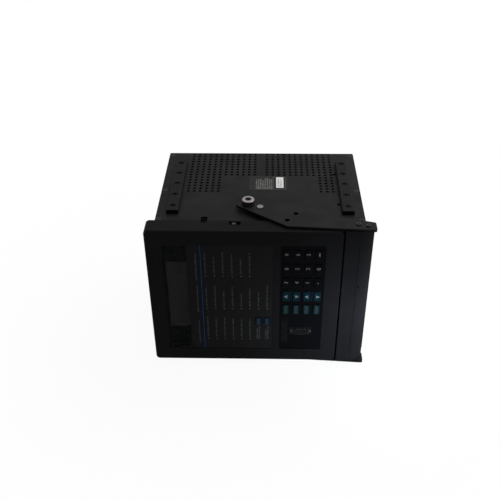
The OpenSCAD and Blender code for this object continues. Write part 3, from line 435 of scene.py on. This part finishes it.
def powder_coat(name, colour, edges):
    """Powder coat: orange peel and a little dust, with upright faces such as hole walls and sheet edges at
    a share of the clean coat as painted shade.
    """
    clean, dusty = 0.9, 1.9
    finish = Finish(name, colour, roughness=0.6, specular=0.06)
    specks = finish.spread(finish.noise(scale=900, detail=4), low=0.0, high=1.0, start=0.62, end=0.72)
    drifts = finish.spread(finish.noise(scale=14, detail=3), low=0.10, high=0.75)
    dust = finish.maths("MULTIPLY", specks, drifts)
    # Upright faces take the edges share of the clean coat as painted shade; the specks and drifts are dust
    finish.paint_level(upright=clean * edges, coat=finish.tones(dust, clean, dusty))
    finish.rough(finish.noise(scale=40, detail=3), low=0.52, high=0.68)
    finish.bump(finish.noise(scale=620, detail=2), depth=0.05 * MM, strength=0.5)
    finish.bump(finish.noise(scale=2400, detail=2), depth=0.02 * MM, strength=0.5)
    return finish.material


def panel_film(name, colour):
    """Printed film: very fine matt grain."""
    finish = Finish(name, colour, roughness=0.5, specular=0.02)
    finish.paint(finish.tones(finish.noise(scale=30, detail=3), low=0.8, high=1.25))
    finish.rough(finish.noise(scale=120, detail=3), low=0.44, high=0.56)
    finish.bump(finish.noise(scale=5200, detail=1), depth=0.01 * MM, strength=0.5)
    return finish.material


def smoked_lens(name, colour):
    """Smoked anti-glare lens: dark and see-through, with a dull face and faint smears."""
    finish = Finish(name, colour, roughness=0.35, specular=0.0)
    finish.paint(finish.tones(finish.noise(scale=35, detail=2), low=0.6, high=1.4))
    finish.rough(finish.noise(scale=45, detail=4), low=0.31, high=0.40)
    finish.shader.inputs["Alpha"].default_value = 0.45
    return finish.material


def display_glass(name, colour):
    """Display glass: a fine grid on mottled grey-green."""
    finish = Finish(name, colour, roughness=0.3, specular=0.35)
    upright = finish.mapped(Rotation=(math.pi / 2, 0.0, 0.0))
    cell = (0.7 * MM, 0.7 * MM)
    grid = finish.bricks(upright, cell, gap=0.05 * MM, shares=(1.0, 0.94, 0.75), smooth=0.3)
    grid.offset = 0.0
    cloud = finish.spread(finish.noise(scale=160, detail=4), low=0.0, high=0.45)
    finish.paint(finish.mix(cloud, grid.outputs["Color"], finish.share(1.5)))
    finish.rough(finish.noise(scale=60, detail=2), low=0.25, high=0.4)
    return finish.material


def lamp_plastic(name, colour):
    """Milky clear plastic of a lamp."""
    finish = Finish(name, colour, roughness=0.3, specular=0.15)
    finish.paint(finish.tones(finish.noise(scale=900, detail=2), low=0.7, high=1.3))
    finish.rough(finish.noise(scale=400, detail=2), low=0.18, high=0.34)
    return finish.material


def bright_metal(name, colour, rough=(0.18, 0.34), upright=None):
    """Plated or rolled metal with faint smears, and painted shade on upright faces at a share of its
    colour if given.
    """
    finish = Finish(name, colour, roughness=0.25, metallic=1.0)
    smeared = finish.tones(finish.noise(scale=160, detail=3), low=0.85, high=1.1)
    # Upright faces at the upright share are painted shade
    if upright:
        finish.paint_level(upright, smeared)
    else:
        finish.paint(smeared)
    finish.rough(finish.noise(scale=480, detail=4), *rough)
    finish.bump(finish.noise(scale=3000, detail=2), depth=0.008 * MM, strength=0.4)
    return finish.material


def turned_steel(name, colour, axis):
    """Turned steel: fine rings about an upright axis, uneven polish, and painted shade on the upright
    side.
    """
    finish = Finish(name, colour, roughness=0.25, metallic=1.0)
    about = finish.mapped(Location=(-axis.x, -axis.y, 0.0), Scale=(1.0, 1.0, 0.0))
    rings = finish.add("ShaderNodeTexWave", Vector=about, Scale=700.0, Distortion=0.0)
    rings.wave_type = "RINGS"
    rings.rings_direction = "Z"
    polished = finish.tones(finish.noise(scale=260, detail=3), low=0.85, high=1.15)
    # Upright side faces at 0.4 of the colour are painted shade
    finish.paint_level(upright=0.4, coat=polished)
    finish.rough(finish.noise(scale=60, detail=3), low=0.2, high=0.36)
    turned = finish.spread(finish.level(), low=0.0, high=0.5, start=0.0, end=1.0)
    finish.bump(rings.outputs["Fac"], depth=0.012 * MM, strength=turned)
    return finish.material


def circuit_board(name, colour):
    """Coated board with rows of tracks."""
    finish = Finish(name, colour, roughness=0.4, specular=0.2)
    run = (9 * MM, 1.6 * MM)
    tracks = finish.bricks(finish.place, run, gap=0.3 * MM, shares=(1.0, 0.8, 1.8))
    finish.paint(tracks.outputs["Color"])
    finish.rough(finish.noise(scale=80, detail=3), low=0.3, high=0.5)
    return finish.material


def taped_core(name, colour):
    """Winding under varnished tape."""
    finish = Finish(name, colour, roughness=0.5)
    wraps = finish.add("ShaderNodeTexWave", Vector=finish.place, Scale=60.0, Distortion=1.5)
    finish.paint(finish.tones(wraps.outputs["Fac"], low=0.6, high=1.2))
    finish.rough(finish.noise(scale=200, detail=3), low=0.35, high=0.55)
    finish.bump(wraps.outputs["Fac"], depth=0.1 * MM, strength=0.6)
    return finish.material


def ink_finish(name, colour):
    """Screen-printed ink, a little thin in places."""
    finish = Finish(name, colour, roughness=0.55, specular=0.04)
    finish.paint(finish.tones(finish.noise(scale=700, detail=3), low=0.82, high=1.12))
    finish.rough(finish.noise(scale=300, detail=2), low=0.47, high=0.63)
    return finish.material


def dress(material, *names):
    """Gives CAD nodes their finish."""
    for name in names:
        slots = NODES[name].data.materials
        slots.clear()
        slots.append(material)


def add_piece(name, mesh, material, body):
    """Links a finished mesh as a piece that rides on a body."""
    mesh.name = name
    mesh.materials.clear()
    mesh.materials.append(material)
    piece = bpy.data.objects.new(name, mesh)
    bpy.context.scene.collection.objects.link(piece)
    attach(piece, body)


def on_front(x, y, z):
    """Place on the front: lines read towards the relay's right, with the relay's top above them."""
    return Matrix(((0, -1, 0, x), (0, 0, -1, y), (1, 0, 0, z), (0, 0, 0, 1)))


def on_cover(x, y, z):
    """Place on the right cover: lines read towards the rear."""
    return Matrix(((0, -1, 0, x), (1, 0, 0, y), (0, 0, 1, z), (0, 0, 0, 1)))


def moved(place, along, up=0.0, out=0.0):
    """A place moved along its line, up from it and out of its surface."""
    return place @ Matrix.Translation((along, up, out))


def middle(node):
    """Middle of a node's box."""
    low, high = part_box(node)
    return (low + high) / 2


def key_top(key):
    """Place of a print on a key's cap."""
    centre = middle(key)
    return on_front(centre.x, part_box(key)[0].y, centre.z)


def lamp_places():
    """Place of each lamp in x and z, by column from the relay's left."""
    low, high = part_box("status_lamps")
    rows = max(LAMP_COUNTS)
    step_x = (high.x - low.x - 2 * LAMP_R) / (rows - 1)
    step_z = (high.z - low.z - 2 * LAMP_R) / (len(LAMP_COUNTS) - 1)
    return [
        [(low.x + LAMP_R + row * step_x, low.z + LAMP_R + column * step_z) for row in range(count)]
        for column, count in enumerate(LAMP_COUNTS)
    ]


def add_plate(shape, place, size, thick, corner=0.0):
    """Adds a flat plate about a place, with round corners if they are given."""
    made = bmesh.ops.create_cube(shape, size=1.0, matrix=place @ Matrix.Diagonal((*size, 2 * thick, 1.0)))
    if corner:
        normal = place.col[2].xyz
        edges = {edge for vertex in made["verts"] for edge in vertex.link_edges}
        ways = {edge: (edge.verts[0].co - edge.verts[1].co).normalized() for edge in edges}
        upright = [edge for edge, way in ways.items() if abs(way.dot(normal)) > EDGE_SHARE]
        bmesh.ops.bevel(
            shape, geom=upright, offset=corner, offset_type="OFFSET", affect="EDGES",
            segments=CORNER_STEPS, profile=0.5, material=-1, clamp_overlap=True,
        )


def add_frame(shape, place, size, line, lap, thick):
    """Adds a frame of four thin lines about a place, its short lines longer by a lap."""
    for side in (-1, 1):
        add_plate(shape, moved(place, 0.0, side * size[1] / 2), (size[0], line), thick)
        add_plate(shape, moved(place, side * size[0] / 2), (line, size[1] + lap), thick)


def add_words(shape, place, reach, sizes, dice):
    """Adds a line of letter-sized marks, in words, that runs from a place over a given reach."""
    low_letter = min(LETTER_HEIGHTS) * sizes.letter
    at = 0.0
    left = dice.randint(*WORD_LETTERS)
    while at < reach:
        wide = sizes.pitch * dice.uniform(*LETTER_WIDTHS)
        tall = sizes.letter * dice.choice(LETTER_HEIGHTS)
        add_plate(shape, moved(place, at + wide / 2, (tall - low_letter) / 2), (wide, tall), sizes.ink)
        at += sizes.pitch
        left -= 1
        if left == 0:
            at += sizes.pitch
            left = dice.randint(*WORD_LETTERS)


def mesh_of(shape):
    """Turns a bmesh into a mesh with its faces outwards."""
    bmesh.ops.recalc_face_normals(shape, faces=shape.faces)
    mesh = bpy.data.meshes.new("piece")
    shape.to_mesh(mesh)
    shape.free()
    return mesh


def plate_mesh(place, size, thick, corner):
    """A mesh of one flat plate with round corners."""
    shape = bmesh.new()
    add_plate(shape, place, size, thick, corner)
    return mesh_of(shape)


def disc_mesh(place, radius, sides, thick):
    """A mesh of a flat disc with a given number of sides."""
    shape = bmesh.new()
    bmesh.ops.create_cone(
        shape, cap_ends=True, segments=sides, radius1=radius, radius2=radius, depth=2 * thick, matrix=place
    )
    return mesh_of(shape)


def text_mesh(text, height, thick):
    """A mesh of a numeral about its middle."""
    curve = bpy.data.curves.new("numeral", "FONT")
    curve.body = text
    curve.size = height * FONT_SIZE
    curve.extrude = thick
    curve.align_x = "CENTER"
    curve.align_y = "CENTER"
    writing = bpy.data.objects.new("numeral", curve)
    bpy.context.scene.collection.objects.link(writing)
    graph = bpy.context.evaluated_depsgraph_get()
    mesh = bpy.data.meshes.new_from_object(writing.evaluated_get(graph))
    bpy.data.objects.remove(writing)
    bpy.data.curves.remove(curve)
    return mesh


def seen_rays(tree):
    """1 for what is seen, reflected or looked through, and 0 for other light."""
    path = tree.nodes.new("ShaderNodeLightPath")
    total = path.outputs["Is Camera Ray"]
    for ray in ("Is Glossy Ray", "Is Transmission Ray"):
        plus = tree.nodes.new("ShaderNodeMath")
        plus.operation = "ADD"
        plus.use_clamp = True
        tree.links.new(total, plus.inputs[0])
        tree.links.new(path.outputs[ray], plus.inputs[1])
        total = plus.outputs[0]
    return total


class RELAY_OT_housing(bpy.types.Operator):
    """Finishes the moulded front, the handle, the rails, the plugs and the sheet metal"""

    bl_idname = "relay.housing"
    bl_label = "Housing finishes"

    def execute(self, context):
        colours = context.scene.relay_colours
        dress(moulded("moulded_black", colours.bezel), "front_bezel", "handle_bar")
        dress(slide_rail("rail_plastic", colours.rail), "right_rails", "left_rails")
        plug = moulded("plug_plastic", colours.plug, grain=2000, rough=(0.5, 0.65))
        dress(plug, "signal_plug", "power_plug")
        # The edges shares darken upright faces as painted shade, slightly on the chassis and strongly on
        # covers and arms
        dress(powder_coat("black_powder_coat", colours.powder, edges=0.9), "chassis_frame")
        sheet = powder_coat("black_coated_sheet", colours.powder, edges=0.15)
        dress(sheet, "right_cover", "left_cover", "right_arm", "left_arm")
        return {"FINISHED"}


class RELAY_OT_hardware(bpy.types.Operator):
    """Finishes the screws, rollers, pins, clips, port shell, latch and contacts"""

    bl_idname = "relay.hardware"
    bl_label = "Hardware finishes"

    def execute(self, context):
        metals = context.scene.relay_metals
        black = bright_metal("black_screws", metals.screw, rough=(0.35, 0.5))
        dress(black, "cover_screws", "handle_screws", "roller_pins")
        dress(bright_metal("blackened_screws", metals.rail_screw, rough=(0.4, 0.55)), "rail_screws")
        dress(bright_metal("dull_zinc", metals.clip, rough=(0.3, 0.45)), "bezel_clips")
        # The upright shares of the port shell and jack screws darken their upright faces as painted shade
        shell = bright_metal("black_zinc", metals.port_shell, rough=(0.4, 0.55), upright=0.32)
        dress(shell, "port_shell")
        nickel = bright_metal("dull_nickel", metals.jack_screw, rough=(0.55, 0.7), upright=0.09)
        dress(nickel, "jack_screws")
        dress(bright_metal("bright_zinc", metals.zinc), "bezel_screws", "locking_latch")
        dress(bright_metal("plated_brass", metals.contact, rough=(0.2, 0.4)), "contact_blades")
        for roller in ("right_roller", "left_roller"):
            dress(turned_steel(f"turned_{roller}", metals.roller, middle(roller)), roller)
        dress(turned_steel("turned_pivots", metals.pivot, middle("pivot_pins")), "pivot_pins")
        return {"FINISHED"}


class RELAY_OT_front(bpy.types.Operator):
    """Finishes the lens, display, films, lamps, keys and the port's insert"""

    bl_idname = "relay.front"
    bl_label = "Front finishes"

    def execute(self, context):
        colours = context.scene.relay_colours
        dress(smoked_lens("smoked_lens", colours.pane), "display_window")
        dress(display_glass("display_glass", colours.display), "display_module")
        dress(panel_film("status_film", colours.film), "status_overlay")
        dress(panel_film("keypad_film", colours.key_film), "keypad_overlay")
        dress(lamp_plastic("lamp_plastic", colours.lamp), "status_lamps")
        dress(moulded("port_insulator", colours.insulator, grain=3000), "port_insert")
        black = moulded("black_keys", colours.key_dark, grain=KEY_GRAIN, rough=(0.38, 0.5))
        dress(black, *NUMBER_KEYS, "key_point", "key_help")
        for name, colour, keys in (
            ("arrow_keys", colours.key_arrow, ARROW_KEYS),
            ("teal_keys", colours.key_teal, FUNCTION_KEYS),
            ("blue_keys", colours.key_blue, STATUS_KEYS),
        ):
            dress(moulded(name, colour, grain=KEY_GRAIN, rough=(0.36, 0.48)), *keys)
        return {"FINISHED"}


class RELAY_OT_inside(bpy.types.Operator):
    """Finishes the boards and what stands on them"""

    bl_idname = "relay.inside"
    bl_label = "Inner finishes"

    def execute(self, context):
        colours = context.scene.relay_colours
        board = circuit_board("circuit_board", colours.board)
        dress(board, "front_board", "main_board", "input_board", "supply_board")
        dress(moulded("guide_plastic", colours.guide, grain=1500), "card_guides", "key_switches")
        dress(taped_core("taped_core", colours.core), "current_transformers")
        case = moulded("relay_cases", colours.relay_case, grain=1500, rough=(0.2, 0.35), specular=0.5)
        dress(case, "output_relays")
        return {"FINISHED"}


class RELAY_OT_status_print(bpy.types.Operator):
    """Prints the blue band, the headings and the legends on the status film"""

    bl_idname = "relay.status_print"
    bl_label = "Status film print"

    def execute(self, context):
        colours, sizes = context.scene.relay_colours, context.scene.relay_print
        self.add_bands(colours, sizes)
        self.add_legends(colours, sizes)
        return {"FINISHED"}

    def add_bands(self, colours, sizes):
        """The blue band and the bright line in it."""
        low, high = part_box("status_overlay")
        lens_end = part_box("display_window")[1].x
        for name, at, wide, lift, colour in (
            ("blue_band", sizes.band_at, sizes.band_w, 0.0, colours.band),
            ("blue_line", sizes.line_at, sizes.line_w, sizes.ink, colours.band_line),
        ):
            place = on_front(lens_end + at, low.y - lift, (low.z + high.z) / 2)
            mesh = plate_mesh(place, (high.z - low.z, wide), sizes.ink, sizes.band_corner)
            add_piece(name, mesh, ink_finish(name, colour), "unit")

    def add_legends(self, colours, sizes):
        """Marks beside the lamps, above their columns and beside the status keys."""
        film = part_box("status_overlay")[0].y
        heading_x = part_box("display_window")[1].x + sizes.heading_at
        columns = lamp_places()
        dice = random.Random(SEEDS["status"])
        shape = bmesh.new()
        for column, reaches in zip(columns, LEGENDS):
            for (x, z), reach in zip(column, reaches):
                add_words(shape, on_front(x, film, z + sizes.legend_gap), reach * MM, sizes, dice)
        for column, reach in zip(columns, HEADINGS):
            place = on_front(heading_x, film, column[0][1] - sizes.heading_back)
            add_words(shape, place, reach * MM, sizes, dice)
        for key in STATUS_KEYS:
            for side in (-1, 1):
                x = middle(key).x + side * sizes.status_row
                place = on_front(x, film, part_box(key)[0].z - sizes.status_back)
                add_words(shape, place, sizes.status_reach + side * sizes.status_step, sizes, dice)
        legends = ink_finish("legend_ink", colours.legend)
        add_piece("status_legends", mesh_of(shape), legends, "unit")


class RELAY_OT_key_print(bpy.types.Operator):
    """Prints numerals, arrows, pale fields and marks on the keys, and the legend beside the port"""

    bl_idname = "relay.key_print"
    bl_label = "Key print"

    def execute(self, context):
        colours, sizes = context.scene.relay_colours, context.scene.relay_print
        ink = ink_finish("key_ink", colours.ink)
        white = ink_finish("arrow_ink", colours.arrow_ink)
        for key, digit in NUMBER_KEYS.items():
            mesh = text_mesh(digit, sizes.numeral, sizes.ink)
            mesh.transform(moved(key_top(key), sizes.numeral_shift))
            add_piece(f"numeral_{digit}", mesh, ink, key)
        for key, turn in ARROW_KEYS.items():
            place = key_top(key) @ Matrix.Rotation(turn, 4, "Z")
            mesh = disc_mesh(place, sizes.arrow, ARROW_SIDES, sizes.ink)
            add_piece(f"arrow_{key}", mesh, white, key)
        self.field_prints(FUNCTION_KEYS, ink_finish("teal_field", colours.key_teal_field), sizes)
        self.field_prints(STATUS_KEYS, ink_finish("blue_field", colours.key_blue_field), sizes)
        self.arrow_fields(colours, sizes)
        self.point_prints(sizes, ink)
        self.port_print(colours, sizes)
        return {"FINISHED"}

    def field_prints(self, keys, field, sizes):
        """Pale fields on the tops of some keys."""
        for key in keys:
            low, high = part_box(key)
            size = (high.z - low.z - 2 * sizes.field_rim, FIELD_SHARE * (high.x - low.x))
            mesh = plate_mesh(key_top(key), size, sizes.ink, sizes.field_corner)
            add_piece(f"field_{key}", mesh, field, key)

    def arrow_fields(self, colours, sizes):
        """Blue print on the film between the two keys of each arrow pair, lifted in colour as painted
        light against the keys' shadow.
        """
        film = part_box("keypad_overlay")[0].y
        finish = ink_finish("arrow_field", colours.arrow_field)
        for pair in ("1", "2"):
            up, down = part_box(f"key_up_{pair}"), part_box(f"key_down_{pair}")
            place = on_front((up[1].x + down[0].x) / 2, film, (up[0].z + up[1].z) / 2)
            wide = up[1].z - up[0].z - 2 * sizes.arrow_rim
            tall = down[0].x - up[1].x - 2 * sizes.arrow_gap
            mesh = plate_mesh(place, (wide, tall), sizes.ink, sizes.arrow_corner)
            add_piece(f"arrow_field_{pair}", mesh, finish, "unit")

    def point_prints(self, sizes, ink):
        """A dot on the point key and a short row of marks on the help key."""
        mesh = disc_mesh(key_top("key_point"), sizes.dot, DOT_SIDES, sizes.ink)
        add_piece("point_dot", mesh, ink, "key_point")
        shape = bmesh.new()
        dice = random.Random(SEEDS["help"])
        add_words(shape, moved(key_top("key_help"), -sizes.help_back), sizes.help_reach, sizes, dice)
        add_piece("help_bars", mesh_of(shape), ink, "key_help")

    def port_print(self, colours, sizes):
        """Framed legend beside the port."""
        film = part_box("keypad_overlay")[0]
        centre = on_front(film.x + sizes.port_at, film.y, middle("port_shell").z)
        shape = bmesh.new()
        line = sizes.port_line
        add_frame(shape, centre, (sizes.port_l, sizes.port_w), line, lap=line, thick=sizes.ink)
        dice = random.Random(SEEDS["port"])
        for side in (-1, 1):
            place = moved(centre, -sizes.port_back, side * sizes.port_row)
            add_words(shape, place, sizes.port_reach, sizes, dice)
        ink = ink_finish("port_ink", colours.port_legend)
        add_piece("port_legend", mesh_of(shape), ink, "unit")


class RELAY_OT_rating_plate(bpy.types.Operator):
    """Sticks a plain rating plate with grey lines and a white patch on the right cover"""

    bl_idname = "relay.rating_plate"
    bl_label = "Rating plate"

    def execute(self, context):
        scene = context.scene
        colours, sizes, plate = scene.relay_colours, scene.relay_print, scene.relay_plate
        low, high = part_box("right_cover")
        x = low.x + plate.plate_x + plate.plate_l / 2
        y = low.y + plate.plate_y + plate.plate_w / 2
        place = on_cover(x, y, high.z + plate.half)
        mesh = plate_mesh(place, (plate.plate_w, plate.plate_l), plate.half, plate.corner)
        add_piece("rating_plate", mesh, panel_film("plate_film", colours.plate), "unit")
        top = on_cover(x, y, high.z + 2 * plate.half)
        place = moved(top, plate.patch_shift, -plate.patch_drop)
        mesh = plate_mesh(place, (plate.patch_l, plate.patch_w), sizes.ink, plate.patch_corner)
        add_piece("plate_patch", mesh, ink_finish("white_patch", colours.patch), "unit")
        self.plate_lines(top, colours, sizes, plate)
        self.patch_lines(moved(top, 0.0, out=sizes.ink), colours, sizes, plate)
        return {"FINISHED"}

    def plate_lines(self, top, colours, sizes, plate):
        """Grey lines of print and a thin frame round the white patch."""
        shape = bmesh.new()
        dice = random.Random(SEEDS["plate"])
        for line in range(PLATE_LINES):
            start = moved(top, -plate.lines_back, plate.lines_up - line * plate.lines_pitch)
            add_words(shape, start, dice.uniform(*PLATE_REACH) * MM, sizes, dice)
        around = moved(top, 0.0, -plate.frame_drop)
        size = (plate.frame_l, plate.frame_w)
        add_frame(shape, around, size, plate.frame_line, lap=0.0, thick=sizes.ink)
        ink = ink_finish("plate_ink", colours.plate_ink)
        add_piece("plate_lines", mesh_of(shape), ink, "unit")

    def patch_lines(self, top, colours, sizes, plate):
        """Grey marks on the white patch."""
        shape = bmesh.new()
        dice = random.Random(SEEDS["patch"])
        for line in range(PATCH_LINES):
            start = moved(top, -plate.marks_back, -plate.marks_drop - line * plate.marks_pitch)
            add_words(shape, start, dice.uniform(*PATCH_REACH) * MM, sizes, dice)
        ink = ink_finish("patch_ink", colours.patch_ink)
        add_piece("patch_lines", mesh_of(shape), ink, "unit")


class RELAY_OT_studio(bpy.types.Operator):
    """Sets up the floor, the soft light, the white surroundings and the camera"""

    bl_idname = "relay.studio"
    bl_label = "Studio"

    def execute(self, context):
        scene = context.scene
        studio = scene.relay_studio
        self.add_floor(scene, studio)
        self.add_world(scene, studio.sky)
        self.add_light(
            scene, "top_light", studio.top_power, studio.top_place, studio.top_aim, studio.top_size
        )
        fill = self.add_light(
            scene, "fill_light", studio.fill_power, studio.fill_place, studio.fill_aim, studio.fill_size
        )
        fill.color = studio.fill_tint
        fill.spread = studio.fill_spread
        self.add_camera(scene, studio)
        scene.view_settings.view_transform = "Standard"
        return {"FINISHED"}

    def add_floor(self, scene, studio):
        """A wide pale floor that turns to plain white away from the relay."""
        shape = bmesh.new()
        bmesh.ops.create_circle(
            shape, cap_ends=True, segments=FLOOR_SIDES, radius=studio.floor_r,
            matrix=Matrix.Translation((0, 0, CAD_BOX[0].z)),
        )
        mesh = bpy.data.meshes.new("floor")
        shape.to_mesh(mesh)
        shape.free()
        mesh.materials.append(self.floor_finish(scene.relay_colours.floor, studio))
        floor = bpy.data.objects.new("floor", mesh)
        scene.collection.objects.link(floor)

    def floor_finish(self, colour, studio):
        """Pale paper that shows as plain white, but for a share of its own tone near the relay."""
        finish = Finish("studio_floor", colour, roughness=0.9, specular=0.0)
        finish.paint(finish.tones(finish.noise(scale=3, detail=2), low=0.99, high=1.01))
        away = finish.add("ShaderNodeVectorMath")
        away.operation = "LENGTH"
        finish.feed(away.inputs[0], finish.place)
        fade = finish.spread(away.outputs["Value"], studio.glow, 1.0, studio.fade_r, 2.0 * studio.fade_r)
        white = finish.add("ShaderNodeEmission", Color=WHITE)
        plain = finish.maths("MULTIPLY", fade, seen_rays(finish.tree))
        blend = finish.add("ShaderNodeMixShader", Fac=plain)
        finish.feed(blend.inputs[1], finish.shader.outputs[0])
        finish.feed(blend.inputs[2], white.outputs[0])
        finish.feed(finish.tree.nodes["Material Output"].inputs["Surface"], blend.outputs[0])
        return finish.material

    def add_world(self, scene, level):
        """White where it is seen, reflected or looked through, and a plain level of light otherwise."""
        world = bpy.data.worlds.new("studio")
        scene.world = world
        world.use_nodes = True
        tree = world.node_tree
        light = tree.nodes["Background"]
        light.inputs["Color"].default_value = WHITE
        light.inputs["Strength"].default_value = level
        seen = tree.nodes.new("ShaderNodeBackground")
        seen.inputs["Color"].default_value = WHITE
        blend = tree.nodes.new("ShaderNodeMixShader")
        tree.links.new(seen_rays(tree), blend.inputs[0])
        tree.links.new(light.outputs[0], blend.inputs[1])
        tree.links.new(seen.outputs[0], blend.inputs[2])
        tree.links.new(blend.outputs[0], tree.nodes["World Output"].inputs["Surface"])

    def add_light(self, scene, name, power, place, aim, size):
        """A square soft box that points at a place."""
        lamp = bpy.data.lights.new(name, "AREA")
        lamp.energy = power
        lamp.size = size
        box = bpy.data.objects.new(name, lamp)
        scene.collection.objects.link(box)
        box.location = place
        box.rotation_euler = (Vector(aim) - Vector(place)).to_track_quat("-Z", "Y").to_euler()
        return lamp

    def add_camera(self, scene, studio):
        """The camera that stands where the photograph was taken."""
        lens = bpy.data.cameras.new("camera")
        lens.lens = studio.lens
        lens.sensor_width = SENSOR_MM
        lens.clip_start = CLIP_START
        camera = bpy.data.objects.new("camera", lens)
        scene.collection.objects.link(camera)
        level = math.cos(studio.pitch)
        ahead = Vector(
            (math.sin(studio.yaw) * level, math.cos(studio.yaw) * level, -math.sin(studio.pitch))
        )
        flat = Vector((math.cos(studio.yaw), -math.sin(studio.yaw), 0.0))
        up = flat.cross(ahead)
        right = flat * math.cos(studio.roll) + up * math.sin(studio.roll)
        top = up * math.cos(studio.roll) - flat * math.sin(studio.roll)
        turn = Matrix((right, top, -ahead)).transposed().to_4x4()
        camera.matrix_world = Matrix.Translation(studio.place) @ turn
        scene.camera = camera


GROUPS = {
    "relay_colours": RelayColours,
    "relay_metals": RelayMetals,
    "relay_print": RelayPrint,
    "relay_plate": RelayPlate,
    "relay_studio": RelayStudio,
}
OPERATORS = (
    RELAY_OT_housing, RELAY_OT_hardware, RELAY_OT_front, RELAY_OT_inside, RELAY_OT_status_print,
    RELAY_OT_key_print, RELAY_OT_rating_plate, RELAY_OT_studio,
)


class RELAY_PT_looks(bpy.types.Panel):
    """Lists the relay's steps and settings"""

    bl_idname = "RELAY_PT_looks"
    bl_label = "Relay looks"
    bl_space_type = "VIEW_3D"
    bl_region_type = "UI"
    bl_category = "Relay"

    def draw(self, context):
        for operator in OPERATORS:
            self.layout.operator(operator.bl_idname)
        for name, group in GROUPS.items():
            box = self.layout.box()
            for setting in group.__annotations__:
                box.prop(getattr(context.scene, name), setting)


CLASSES = (*GROUPS.values(), *OPERATORS, RELAY_PT_looks)


def register():
    """Registers the classes and hangs their settings on the scene."""
    for each in CLASSES:
        bpy.utils.register_class(each)
    for name, group in GROUPS.items():
        setattr(bpy.types.Scene, name, PointerProperty(type=group))


def unregister():
    """Takes the settings and the classes away again."""
    for name in GROUPS:
        delattr(bpy.types.Scene, name)
    for each in reversed(CLASSES):
        bpy.utils.unregister_class(each)


def main():
    """Builds the looks step by step."""
    register()
    for operator in OPERATORS:
        group, step = operator.bl_idname.split(".")
        getattr(getattr(bpy.ops, group), step)()


if __name__ == "__main__":
    main()
